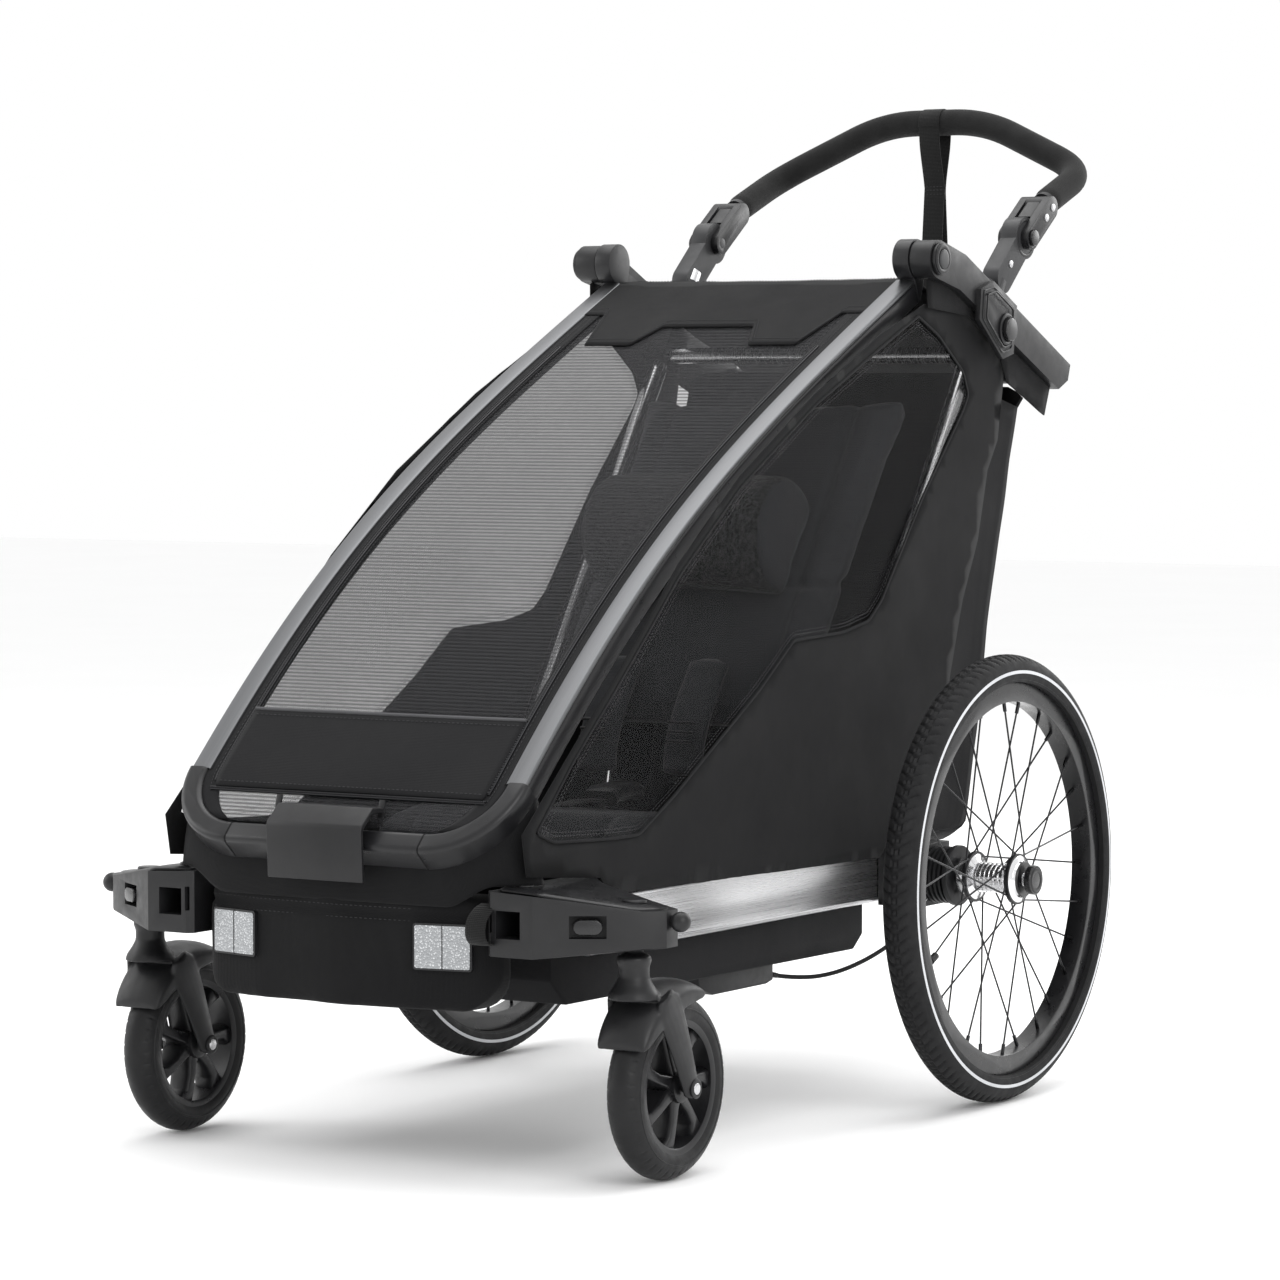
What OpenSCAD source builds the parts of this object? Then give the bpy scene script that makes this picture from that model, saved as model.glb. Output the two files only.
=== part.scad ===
// Single-seat child bicycle trailer with front swivel casters, in millimetres.
// +Z is up, the front faces -Y, and +X is the trailer's own left side.
// The origin lies on the ground, under the middle of the whole trailer.

/* [Rear wheels] */
// Outer radius of the rear tyre
wheel_r = 243; // [235:1:250]
// Half of the rear tyre's width
tyre_half = 20; // [16:1:22]
// Distance from the middle plane to each rear wheel's middle
wheel_x = 334; // [330:1:345]
// Rear axle's distance behind the origin
axle_y = 166; // [150:1:180]
// Number of spokes in a rear wheel
spokes = 28; // [20:4:36]
// Radius of a spoke
spoke_r = 1; // [0.8:0.1:1.5]

/* [Front casters] */
// Outer radius of the caster wheel
caster_r = 92; // [85:1:94]
// Half of the caster wheel's width
caster_half = 19; // [15:1:20]
// Distance from the middle plane to each caster
caster_x = 295; // [285:1:300]
// Swivel axis's distance behind the origin
swivel_y = -522; // [-530:1:-515]
// Distance that the caster wheel trails behind its swivel axis
trail = 59; // [50:1:62]
// Number of spokes in a caster wheel
caster_spokes = 7; // [5:1:8]

/* [Chassis] */
// Side bar's outer face, from the middle plane
bar_x = 200; // [195:1:202]
// Side bar's width
bar_w = 22; // [18:1:24]
// Side bar's lower edge
bar_z = 212; // [205:1:214]
// Side bar's height
bar_h = 60; // [55:1:62]
// Wall of the side bar and of other tubes
wall = 2.5; // [2:0.5:3]

/* [Front arch] */
// Arch rail's outer face, from the middle plane
arch_x = 202; // [200:1:203]
// Arch rail's width, seen from the front
arch_w = 18; // [14:1:20]
// Arch rail's depth, seen from the side
arch_d = 30; // [24:1:32]

/* [Rear frame] */
// Upright tube's middle, from the middle plane
upright_x = 203; // [202:1:203]
// Radius of the upright tube
upright_r = 11; // [10:0.5:11]
// Radius of the foam handle grip
grip_r = 15.5; // [13:0.5:16]
// Radius of the handle's tube
handle_r = 9.5; // [8:0.5:10]

/* [Fits] */
// Radial clearance of a running pin or axle
run_gap = 0.05; // [0.02:0.01:0.1]

/* [Hidden] */

$fn = 48;

// Side-view places are [y, z] pairs.
arch_pivot = [-545, 322];
top_pivot = [211, 915];
handle_pivot = [445, 944];
upright_top = [402, 909];
upright_foot = [10, 330];
slide_pin = [-8, 300];
knob_at = [360, 839];
wheel_z = wheel_r;
caster_y = swivel_y + trail;

// Arch's upper edge, a Bezier curve from the top hinge down to the front corner
arch_ends = [[205, 893], [-140, 727], [-325, 635], [-572, 392]];
arch_steps = 14;
corner_tilt = 47;
corner_r = 86;

// Wheel cross-section radii
bead_r = 206;
lip_r = 213;
rim_in_r = 192;
rim_half = 12;
hub_in = 288;
hub_out = 363;
hub_flange_r = 27;
axle_r = 6;
button_bore_r = 3.6;

// Side fabric's plane and outline
panel_x = 214.5;
panel_t = 2;
window_pts = [
    [189, 852], [235, 832], [294, 791], [306, 766], [294, 749], [202, 656], [108, 544],
    [80, 523], [25, 513], [-81, 509], [-153, 460], [-321, 363], [-388, 329], [-434, 329],
    [-543, 334], [-575, 345], [-507, 412], [-435, 473], [-361, 539], [-310, 586],
    [-189, 673], [-36, 756], [107, 818]
];
panel_pts = [
    [205, 866], [300, 858], [372, 820], [394, 794], [378, 715], [354, 681], [331, 603],
    [296, 537], [262, 440], [225, 290], [204, 279], [126, 279], [108, 264], [-444, 274], [-458, 292],
    [-590, 304], [-598, 345],
    [-507, 424], [-435, 485], [-361, 551], [-310, 598], [-189, 685], [-36, 768], [107, 832]
];

// Brake cable's route, left as a free span between the guide and the axle housing
cable_r = 2.5;
cable_pts = [
    [150, -24.5, 147], [158, -8, 143], [167, 14, 140], [177, 38, 139], [188, 64, 142],
    [199, 90, 149], [210, 114, 159], [220, 134, 171], [228, 149, 185], [233, 159, 198],
    [235, 164, 207.5]
];

function bezier(p, t) =
    pow(1 - t, 3) * p[0] + 3 * pow(1 - t, 2) * t * p[1]
    + 3 * (1 - t) * t * t * p[2] + pow(t, 3) * p[3];
function slope(p, t) =
    3 * pow(1 - t, 2) * (p[1] - p[0]) + 6 * (1 - t) * t * (p[2] - p[1])
    + 3 * t * t * (p[3] - p[2]);
function unit(v) = v / norm(v);
function below(p, t, d) =
    let (s = unit(slope(p, t))) bezier(p, t) + d * [-s[1], s[0]];
function arch_line(depth) = [
    for (i = [0:arch_steps]) below(arch_ends, i / arch_steps, depth)
];
function corner(a, b, c, cut) =
    let (p = b + cut * unit(a - b), q = b + cut * unit(c - b))
    [for (t = [0:0.2:1]) (1 - t) * (1 - t) * p + 2 * (1 - t) * t * b + t * t * q];
function rounded(pts, cut) = concat(
    [pts[0]],
    [for (i = [1:len(pts) - 2]) each corner(pts[i - 1], pts[i], pts[i + 1], cut)],
    [pts[len(pts) - 1]]
);
function reversed(list) = [for (i = [len(list) - 1:-1:0]) list[i]];

// ---- helpers ----

module both_sides() {
    children();
    mirror([1, 0, 0]) children();
}

module right_side() {
    mirror([1, 0, 0]) children();
}

// Extrudes a [y, z] outline along X, from x1 to x2
module along_x(x1, x2) {
    translate([x1, 0, 0]) rotate([90, 0, 90]) linear_extrude(x2 - x1) children();
}

// A round bar along X
module x_rod(x1, x2, r, at) {
    translate([x1, at[0], at[1]]) rotate([0, 90, 0]) cylinder(r = r, h = x2 - x1);
}

// A round bar between two points
module rod(p, q, r) {
    d = q - p;
    turn = [0, acos(d[2] / norm(d)), atan2(d[1], d[0])];
    translate(p) rotate(turn) cylinder(r = r, h = norm(d));
}

// A round bar along a smooth route, as one closed skin of rings
module swept(route, r, sides) {
    n = len(route);
    rings = [
        for (i = [0:n - 1])
            let (
                d = unit(route[min(i + 1, n - 1)] - route[max(i - 1, 0)]),
                u = unit(cross(d, [0, -0.5, 1])),
                v = cross(d, u)
            )
            for (k = [0:sides - 1])
                let (a = 360 * k / sides) route[i] + r * (cos(a) * u + sin(a) * v)
    ];
    skin = [
        for (i = [0:n - 2], k = [0:sides - 1])
            let (a = i * sides + k, b = i * sides + (k + 1) % sides)
            [a, a + sides, b + sides, b]
    ];
    ends = [[for (k = [0:sides - 1]) k], [for (k = [sides - 1:-1:0]) (n - 1) * sides + k]];
    polyhedron(points = rings, faces = concat(skin, ends));
}

// A rectangle with true round corners
module round_rect(w, h, r) {
    translate([-w / 2 + r, -h / 2]) square([w - 2 * r, h]);
    translate([-w / 2, -h / 2 + r]) square([w, h - 2 * r]);
    for (sx = [-1, 1], sy = [-1, 1])
        translate([sx * (w / 2 - r), sy * (h / 2 - r)]) circle(r = r);
}

// A bar's outline between two [y, z] points, with round ends
module link_2d(p, q, r) {
    d = q - p;
    translate(p) rotate(atan2(d[1], d[0])) translate([0, -r]) square([norm(d), 2 * r]);
    translate(p) circle(r = r);
    translate(q) circle(r = r);
}

// ---- chassis ----

module side_bar() {
    mid = [bar_x - bar_w / 2, bar_z + bar_h / 2];
    translate([mid[0], -448, mid[1]]) rotate([-90, 0, 0]) linear_extrude(658) difference() {
        round_rect(bar_w, bar_h, 7);
        round_rect(bar_w - 2 * wall, bar_h - 2 * wall, 5);
    }
}

module side_bars() {
    color("silver") both_sides() side_bar();
}

// Cross tube behind the apron, with two ears that carry the arch's pivot pins
module front_cross_tube() {
    tube_at = [-530, 252];
    inner_x = bar_x - bar_w;
    color("#2b2c2e") {
        x_rod(-inner_x, inner_x, 13, tube_at);
        both_sides() {
            along_x(158, 168) link_2d(tube_at, arch_pivot, 12);
            x_rod(168, 180.5, 5, arch_pivot);
        }
    }
}

module rear_axle_tube() {
    inner_x = bar_x - bar_w;
    color("#2b2c2e") {
        difference() {
            x_rod(-inner_x, inner_x, 15, [axle_y, wheel_z]);
            x_rod(-inner_x - 1, inner_x + 1, 15 - wall, [axle_y, wheel_z]);
        }
        for (sx = [-1, 1])
            along_x(sx * 40 - 3, sx * 40 + 3)
                polygon([[axle_y + 8, 231.5], [axle_y + 40, 204], [axle_y + 20, 198],
                         [axle_y - 8, 229]]);
        x_rod(-37, 37, 4, [axle_y + 26, 208]);
    }
}

// Plastic stub on the bar's outer face that holds the wheel's plug-in axle
module axle_housing() {
    difference() {
        union() {
            translate([bar_x, axle_y - 34, 209]) cube([52, 68, 68]);
            x_rod(bar_x + 52, 278, 28, [axle_y, wheel_z]);
            x_rod(278, 284, 33, [axle_y, wheel_z]);
        }
        x_rod(bar_x - 1, 285, axle_r, [axle_y, wheel_z]);
    }
}

module axle_housings() {
    color("#1d1e20") both_sides() axle_housing();
}

module wheel_axles() {
    color("silver") both_sides() difference() {
        x_rod(bar_x + 1, hub_out + 2, axle_r, [axle_y, wheel_z]);
        x_rod(hub_out - 20, hub_out + 3, button_bore_r, [axle_y, wheel_z]);
    }
}

// Front corner bracket: bar end, drawbar socket, swivel bearing and lock button
module caster_arm() {
    outline = [
        [178, -448], [203, -448], [232, -478], [318, -494], [336, -508], [337, -530],
        [322, -548], [232, -606], [184, -606], [178, -600]
    ];
    difference() {
        translate([0, 0, 227]) linear_extrude(63) polygon(outline);
        translate([190, -607, 245]) cube([28, 71, 27]);
        translate([181.5, -607, 250]) cube([4, 12, 24]);
        translate([204, -575, 226]) cylinder(r = 4, h = 65);
        translate([caster_x, swivel_y, 226]) cylinder(r = 9 + run_gap, h = 65);
        arm_button_place() translate([-18, -1, -11]) cube([36, 14, 22]);
    }
    translate([337, -519, 262]) rotate([0, 90, 0]) cylinder(r = 6, h = 6);
    translate([346, -519, 262]) sphere(r = 10, $fn = 32);
}

module arm_button_place() {
    translate([277, -577, 258]) rotate([0, 0, atan2(58, 90)]) children();
}

module caster_arm_left() {
    color("#232427") caster_arm();
}

module caster_arm_right() {
    color("#232427") right_side() caster_arm();
}

module arm_button() {
    arm_button_place() translate([0, 9, 0]) rotate([90, 0, 0]) linear_extrude(11) {
        square([14, 14], center = true);
        for (sx = [-1, 1]) translate([sx * 7, 0]) circle(r = 7);
    }
}

module arm_button_left() {
    color("#303235") arm_button();
}

module arm_button_right() {
    color("#303235") right_side() arm_button();
}

// Open belly between the side bars
module floor_tub() {
    outer = [[-490, 190], [-460, 163], [120, 160], [140, 175], [140, 266], [-490, 266]];
    inner = [[-487, 192], [-459, 166], [119, 163], [137, 177], [137, 270], [-487, 270]];
    half = bar_x - bar_w - 1;
    color("#1b1b1d") difference() {
        along_x(-half, half) polygon(outer);
        along_x(-half + 3, half - 3) polygon(inner);
    }
}

module front_apron() {
    outline = [
        [-176, -552], [-176, -575], [-160, -592], [-90, -607], [0, -612],
        [90, -607], [160, -592], [176, -575], [176, -552]
    ];
    color("#19191b") intersection() {
        translate([0, 0, 168]) linear_extrude(113) polygon(outline);
        rotate([90, 0, 0]) translate([0, 224.5, 540]) linear_extrude(90)
            round_rect(352, 113, 26);
    }
}

module seat_cushion() {
    pad = [[-335, 282], [-318, 268], [-15, 262], [0, 275], [-10, 308], [-290, 332], [-325, 318]];
    color("#3b3c40") along_x(-168, 168) polygon(pad);
}

module reflectors() {
    turn = atan2(15, 70);
    color("white") both_sides()
        translate([125, -599.5, 232]) rotate([0, 0, turn]) translate([-31, -4.5, -23])
            cube([62, 4.5, 46]);
}

module brake_cable() {
    color("#111112") swept(cable_pts, cable_r, 8);
}

module cable_guide() {
    side = [[-180, 159.5], [-176, 148], [-150, 138], [-40, 138], [-26, 141], [-26, 159.5]];
    color("#1d1e20") along_x(140, 160) polygon(side);
}

module side_panel() {
    along_x(panel_x, panel_x + panel_t) difference() {
        polygon(panel_pts);
        polygon(window_pts);
    }
}

module side_panel_left() {
    color("#17171a") side_panel();
}

module side_panel_right() {
    color("#17171a") right_side() side_panel();
}

module side_windows() {
    color("#46484c") both_sides() along_x(panel_x, panel_x + panel_t) polygon(window_pts);
}

// Luggage bag behind the backrest, open at its top
module rear_bag() {
    outer = [[372, 790], [488, 762], [469, 702], [435, 565], [416, 486], [359, 262],
             [240, 262], [268, 440], [330, 640]];
    inner = [[375, 795], [485, 766], [466, 703], [432, 566], [413, 487], [357, 265],
             [243, 265], [271, 440], [333, 640]];
    color("#1b1b1e") difference() {
        along_x(-189, 189) polygon(outer);
        along_x(-186, 186) polygon(inner);
    }
}

module brake_pedal() {
    pivot = [axle_y + 26, 208];
    pad = [[-8, -5], [10, -8], [72, -20], [74, -15], [62, -4], [8, 8], [-8, 6]];
    color("#a02a24") along_x(-32, 32) difference() {
        translate(pivot) polygon(pad);
        translate(pivot) circle(r = 4 + run_gap);
    }
}

// ---- roof: front arch and its mesh ----

module arch_rails() {
    color("#8f9194") both_sides() difference() {
        along_x(arch_x - arch_w, arch_x)
            polygon(concat(arch_line(0), reversed(arch_line(arch_d))));
        tilted_plane(arch_ends[3]) translate([arch_x - arch_w - 1, -30, -50])
            cube([arch_w + 2, 30.1, 70]);
    }
}

// Flat profile of the corner pieces and the crossbar: across, then through
corner_across = 24;
corner_through = 34;
corner_radius = 6;

module tilted_plane(at) {
    translate([0, at[0], at[1]]) rotate([corner_tilt, 0, 0]) children();
}

// Bent corner piece, with an ear that turns on the chassis pin
module arch_corners() {
    bend_r = corner_r - arch_w / 2;
    color("#232426") both_sides() difference() {
        union() {
            tilted_plane(arch_ends[3])
                translate([arch_x - arch_w / 2 - bend_r, 0, -arch_d / 2]) rotate([0, 0, -90])
                    rotate_extrude(angle = 90, $fn = 64) translate([bend_r, 0])
                        round_rect(corner_across, corner_through, corner_radius);
            along_x(170, 180) link_2d(arch_pivot, [-592, 344], 12);
        }
        x_rod(169, 181, 5 + run_gap, arch_pivot);
    }
}

module front_crossbar() {
    bend_r = corner_r - arch_w / 2;
    half = arch_x - arch_w / 2 - bend_r;
    color("#232426") tilted_plane(arch_ends[3]) translate([-half, -bend_r, -arch_d / 2])
        rotate([90, 0, 90]) linear_extrude(2 * half)
            round_rect(corner_across, corner_through, corner_radius);
}

module top_hinges() {
    color("#1d1e20") both_sides() {
        along_x(arch_x - arch_w, arch_x + 1.5) {
            translate(top_pivot) circle(r = 22.5);
            polygon([arch_ends[0], [193, 921], [205, 936], [232, 905], [226, 892],
                     below(arch_ends, 0, arch_d)]);
        }
        x_rod(arch_x + 1.5, 231.5, 6, top_pivot);
        x_rod(231.5, 235, 18, top_pivot);
    }
}

// Mesh front cover between the arch rails
module front_cover() {
    half = arch_x - arch_w - 0.5;
    hem_half = 112;
    hem_start = below(arch_ends, 1, 4);
    hem_end = hem_start - 61 * [cos(corner_tilt), sin(corner_tilt)];
    color("#5a5c60") {
        along_x(-half, half) polygon(concat(arch_line(3), reversed(arch_line(5))));
        along_x(-hem_half, hem_half) link_2d(hem_start, hem_end, 1);
    }
}

module latch_flap() {
    shape = [[-603, 360], [-604, 365], [-622, 366], [-641, 350], [-643, 345], [-640, 294],
             [-636, 294], [-638, 345], [-623, 359]];
    color("#232426") along_x(-57, 57) polygon(shape);
}

// ---- rear frame ----

function at_x(x, p) = [x, p[0], p[1]];

// Tubes that carry the handle, welded to a cross tube, each with a sliding foot
module uprights() {
    lift = upright_top - upright_foot;
    cross_at = upright_foot + 0.83 * lift;
    foot_in = upright_foot + 16 * unit(lift);
    foot_turn = atan2(foot_in[1] - slide_pin[1], foot_in[0] - slide_pin[0]);
    color("#c9cbce") {
        both_sides() rod(at_x(upright_x, upright_foot), at_x(upright_x, upright_top), upright_r);
        x_rod(-upright_x + 5, upright_x - 5, 9, cross_at);
        both_sides() along_x(201, 208) translate(slide_pin) rotate(foot_turn)
            translate([0, -7]) square([norm(foot_in - slide_pin), 14]);
        both_sides() x_rod(200.5, 208.5, 9, slide_pin);
    }
}

module canopy_rails() {
    rail = [[216, 936], [275, 921], [531, 800], [525, 782], [502, 772], [262, 882], [208, 894]];
    cover = [[300, 884], [330, 893], [386, 866], [378, 812], [352, 806], [296, 850]];
    color("#1d1e20") both_sides() {
        difference() {
            union() {
                along_x(218, 230) polygon(rail);
                x_rod(205, 230.5, 21, top_pivot);
                along_x(230, 236) polygon(cover);
            }
            x_rod(204, 237, 6 + run_gap, top_pivot);
            x_rod(204, 237, 9.5, knob_at);
        }
    }
}

module rear_crossbar() {
    color("#1d1e20") x_rod(-218, 218, 9, [514, 787]);
}

// Blocks that hold the uprights against the canopy rails
module upright_clamps() {
    lift = upright_top - upright_foot;
    middle = upright_foot + 0.86 * lift;
    color("#1d1e20") both_sides() difference() {
        along_x(189, 214) translate(middle) rotate(atan2(lift[1], lift[0]))
            square([70, 38], center = true);
        rod(at_x(upright_x, upright_foot), at_x(upright_x, upright_top), upright_r + run_gap);
        x_rod(188, upright_x, 9 + run_gap, upright_foot + 0.83 * lift);
    }
}

module handle_joints() {
    lift = unit(upright_top - upright_foot);
    neck = upright_top - 14 * lift;
    color("#3a3b3e") both_sides() {
        difference() {
            along_x(196, 216) {
                link_2d(neck, handle_pivot - 4 * lift, 17);
                translate(handle_pivot) circle(r = 24);
            }
            rod(at_x(upright_x, upright_foot), at_x(upright_x, upright_top), upright_r);
        }
        x_rod(187, 196, 6, handle_pivot);
        x_rod(216, 220.5, 6, handle_pivot);
    }
}

module roof_panel() {
    sheet = [[236, 889], [505, 786], [505, 789], [237, 892]];
    color("#1b1b1e") along_x(-186, 186) polygon(sheet);
}

// Padded back of the seat, leaning on the uprights' front side
module backrest() {
    pad = [[-6, 398], [24, 388], [272, 745], [262, 770], [240, 768]];
    color("#38393d") along_x(-178, 178) polygon(pad);
}

module head_bolster() {
    behind = [[-7.5, 398], [238.5, 768], [300, 768], [60, 398]];
    color("#3f4044") difference() {
        x_rod(-125, 125, 74, [82, 612]);
        along_x(-126, 126) polygon(behind);
    }
}

module harness() {
    pad = [[-22, 402], [-38, 396], [-16, 348], [2, 356], [-12, 391], [17, 437], [5, 452]];
    color("#2c2d30") for (sx = [-1, 1]) translate([sx * 55, 0, 0])
        along_x(-24, 24) polygon(pad);
}

// ---- handle ----

bolt_at = [494, 980];
grip_start = [512, 986];
handle_corners = [[206, 610, 1025], [67, 627, 1089], [-67, 627, 1089], [-206, 610, 1025]];

function handle_route(start) = rounded(
    concat([at_x(206, start)], handle_corners, [at_x(-206, start)]), 42
);

module handle_bar() {
    color("#1a1a1c") swept(handle_route(bolt_at), handle_r, 16);
}

module foam_grip() {
    color("#222224") difference() {
        swept(handle_route(grip_start), grip_r, 20);
        swept(handle_route(bolt_at), handle_r, 16);
    }
}

// Forks that turn on the handle joints and hold the handle's ends
module handle_clevises() {
    color("#1f2022") both_sides() difference() {
        union() {
            along_x(187, 195.5) link_2d(handle_pivot, bolt_at, 13);
            along_x(216.5, 225) link_2d(handle_pivot, bolt_at, 13);
            along_x(187, 225) translate(bolt_at) circle(r = 13);
        }
        x_rod(186, 226, 6 + run_gap, handle_pivot);
        x_rod(221, 226, 9.4, handle_pivot);
        rod(at_x(206, bolt_at), [206, 610, 1025], handle_r);
    }
}

// Webbing loop over the middle of the handle
module wrist_strap() {
    top = [627, 1089];
    loop = [[608, 1089], [613, 1101], [627, 1108], [641, 1101], [646, 1089], [634, 1030],
            [628, 1000], [638, 890], [634, 889], [626, 980], [618, 889], [614, 890],
            [624, 1000], [619, 1030]];
    color("#161618") difference() {
        along_x(-14, 14) polygon(loop);
        x_rod(-15, 15, grip_r + 0.3, top);
    }
}

module handle_button() {
    x_rod(224.5, 229, 9, handle_pivot);
}

module handle_button_left() {
    color("#2b2c2f") handle_button();
}

module handle_button_right() {
    color("#2b2c2f") right_side() handle_button();
}

module latch_knob() {
    x_rod(214.8, 236.5, 9, knob_at);
    x_rod(236.5, 244, 13, knob_at);
}

module latch_knob_left() {
    color("#2b2c2f") latch_knob();
}

module latch_knob_right() {
    color("#2b2c2f") right_side() latch_knob();
}

// ---- rear wheels ----

// Turns a radius-by-width outline about the wheel's axle, centred on plane x
module wheel_turn(x) {
    translate([x, axle_y, wheel_z]) rotate([0, 90, 0]) rotate_extrude($fn = 96) children();
}

module tyre() {
    mid_r = wheel_r - tyre_half;
    wheel_turn(wheel_x) difference() {
        union() {
            intersection() {
                translate([mid_r, 0]) circle(r = tyre_half);
                translate([lip_r, -tyre_half]) square([40, 2 * tyre_half]);
            }
            translate([bead_r, -10]) square([lip_r - bead_r + 1, 20]);
        }
        translate([mid_r + 2, 0]) circle(r = tyre_half - 5);
    }
}

module rim() {
    wheel_turn(wheel_x) {
        translate([rim_in_r, -rim_half]) square([bead_r - rim_in_r, 2 * rim_half]);
        for (sx = [-1, 1])
            translate([bead_r, sx * (rim_half - 1) - 1]) square([lip_r - bead_r, 2]);
    }
}

// Spokes laced in crossing pairs, from the two hub flanges to the rim
module wheel_spokes() {
    lace = 62;
    for (i = [0:spokes - 1]) {
        side = i % 2 == 0 ? -1 : 1;
        lean = floor(i / 2) % 2 == 0 ? lace : -lace;
        a = 360 * i / spokes;
        flange_x = side < 0 ? hub_in + 14 : hub_out - 10;
        root = [flange_x, axle_y + (hub_flange_r - 3) * cos(a + lean),
                wheel_z + (hub_flange_r - 3) * sin(a + lean)];
        tip = [wheel_x + side * 2, axle_y + (rim_in_r + 1) * cos(a),
               wheel_z + (rim_in_r + 1) * sin(a)];
        rod(root, tip, spoke_r, $fn = 16);
        rod(tip + 12 * unit(root - tip), tip, 2, $fn = 16);
    }
}

module hub() {
    profile = [
        [axle_r + run_gap, hub_in], [20, hub_in], [22, hub_in + 2], [22, hub_in + 10],
        [hub_flange_r, hub_in + 12], [hub_flange_r, hub_in + 16], [15, hub_in + 20],
        [15, hub_out - 18], [hub_flange_r, hub_out - 12], [hub_flange_r, hub_out - 8],
        [20, hub_out - 5], [18, hub_out], [axle_r + run_gap, hub_out]
    ];
    translate([0, axle_y, wheel_z]) rotate([0, 90, 0]) rotate_extrude($fn = 64)
        polygon(profile);
}

module hub_button() {
    x_rod(hub_out - 13, hub_out + 6, button_bore_r - run_gap, [axle_y, wheel_z]);
    x_rod(hub_out + 6, hub_out + 14, 16, [axle_y, wheel_z]);
}

module tyre_left() {
    color("#1c1d1f") tyre();
}

module tyre_right() {
    color("#1c1d1f") right_side() tyre();
}

module rim_left() {
    color("#26272a") rim();
}

module rim_right() {
    color("#26272a") right_side() rim();
}

module spokes_left() {
    color("#55575a") wheel_spokes();
}

module spokes_right() {
    color("#55575a") right_side() wheel_spokes();
}

module hub_left() {
    color("silver") hub();
}

module hub_right() {
    color("silver") right_side() hub();
}

module hub_button_left() {
    color("#151516") hub_button();
}

module hub_button_right() {
    color("#151516") right_side() hub_button();
}

// ---- casters ----

// Swivel stem, crown and two legs that slant back to the wheel's bolt
module caster_fork() {
    axle = [caster_y, caster_r];
    leg = [[swivel_y - 22, 204], [swivel_y + 20, 204], [caster_y + 16, 100], axle + [14, -8],
           axle + [0, -15], axle + [-14, -6], [swivel_y - 8, 150], [swivel_y - 30, 186]];
    translate([caster_x, swivel_y, 0]) {
        translate([0, 0, 200]) cylinder(r = 9, h = 87);
        translate([0, 0, 200]) cylinder(r = 17, h = 26.5);
    }
    difference() {
        translate([caster_x - 31, 0, 0]) along_x(0, 62) polygon(leg);
        translate([caster_x - 24, swivel_y - 60, 60]) cube([48, 150, 128]);
    }
    x_rod(caster_x - 34, caster_x + 34, 4, axle);
    for (sx = [-1, 1]) x_rod(caster_x + sx * 32.5 - 1.5, caster_x + sx * 32.5 + 1.5, 8, axle);
}

module caster_wheel() {
    translate([caster_x, caster_y, caster_r]) rotate([0, 90, 0]) {
        rotate_extrude($fn = 80) intersection() {
            translate([64, -caster_half]) square([caster_r - 64, 2 * caster_half]);
            translate([caster_r - 26, 0]) circle(r = 26);
        }
        difference() {
            union() {
                translate([0, 0, -20]) cylinder(r = 15, h = 40);
                for (i = [0:caster_spokes - 1])
                    rotate([0, 0, 360 * i / caster_spokes]) translate([10, -5, -12])
                        cube([56, 10, 24]);
            }
            translate([0, 0, -21]) cylinder(r = 4 + run_gap, h = 42);
        }
    }
}

module caster_fork_left() {
    color("#232427") caster_fork();
}

module caster_fork_right() {
    color("#232427") right_side() caster_fork();
}

module caster_wheel_left() {
    color("#1a1b1d") caster_wheel();
}

module caster_wheel_right() {
    color("#1a1b1d") right_side() caster_wheel();
}

side_bars();
front_cross_tube();
rear_axle_tube();
axle_housings();
wheel_axles();
caster_arm_left();
caster_arm_right();
floor_tub();
front_apron();
seat_cushion();
reflectors();
brake_cable();
cable_guide();
side_panel_left();
side_panel_right();
side_windows();
rear_bag();
brake_pedal();
arch_rails();
arch_corners();
front_crossbar();
top_hinges();
front_cover();
latch_flap();
uprights();
canopy_rails();
rear_crossbar();
upright_clamps();
handle_joints();
roof_panel();
backrest();
head_bolster();
harness();
handle_bar();
foam_grip();
handle_clevises();
wrist_strap();
handle_button_left();
handle_button_right();
latch_knob_left();
latch_knob_right();
arm_button_left();
arm_button_right();
tyre_left();
rim_left();
spokes_left();
hub_left();
hub_button_left();
tyre_right();
rim_right();
spokes_right();
hub_right();
hub_button_right();
caster_fork_left();
caster_wheel_left();
caster_fork_right();
caster_wheel_right();
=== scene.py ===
"""Looks of the child bicycle trailer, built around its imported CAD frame.

Metres, +Z up, the front faces -Y, and +X is the trailer's own left side.
"""
import math

import bmesh
import bpy
import numpy as np
from mathutils import Matrix, Vector, noise
from mathutils.geometry import delaunay_2d_cdt


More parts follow.
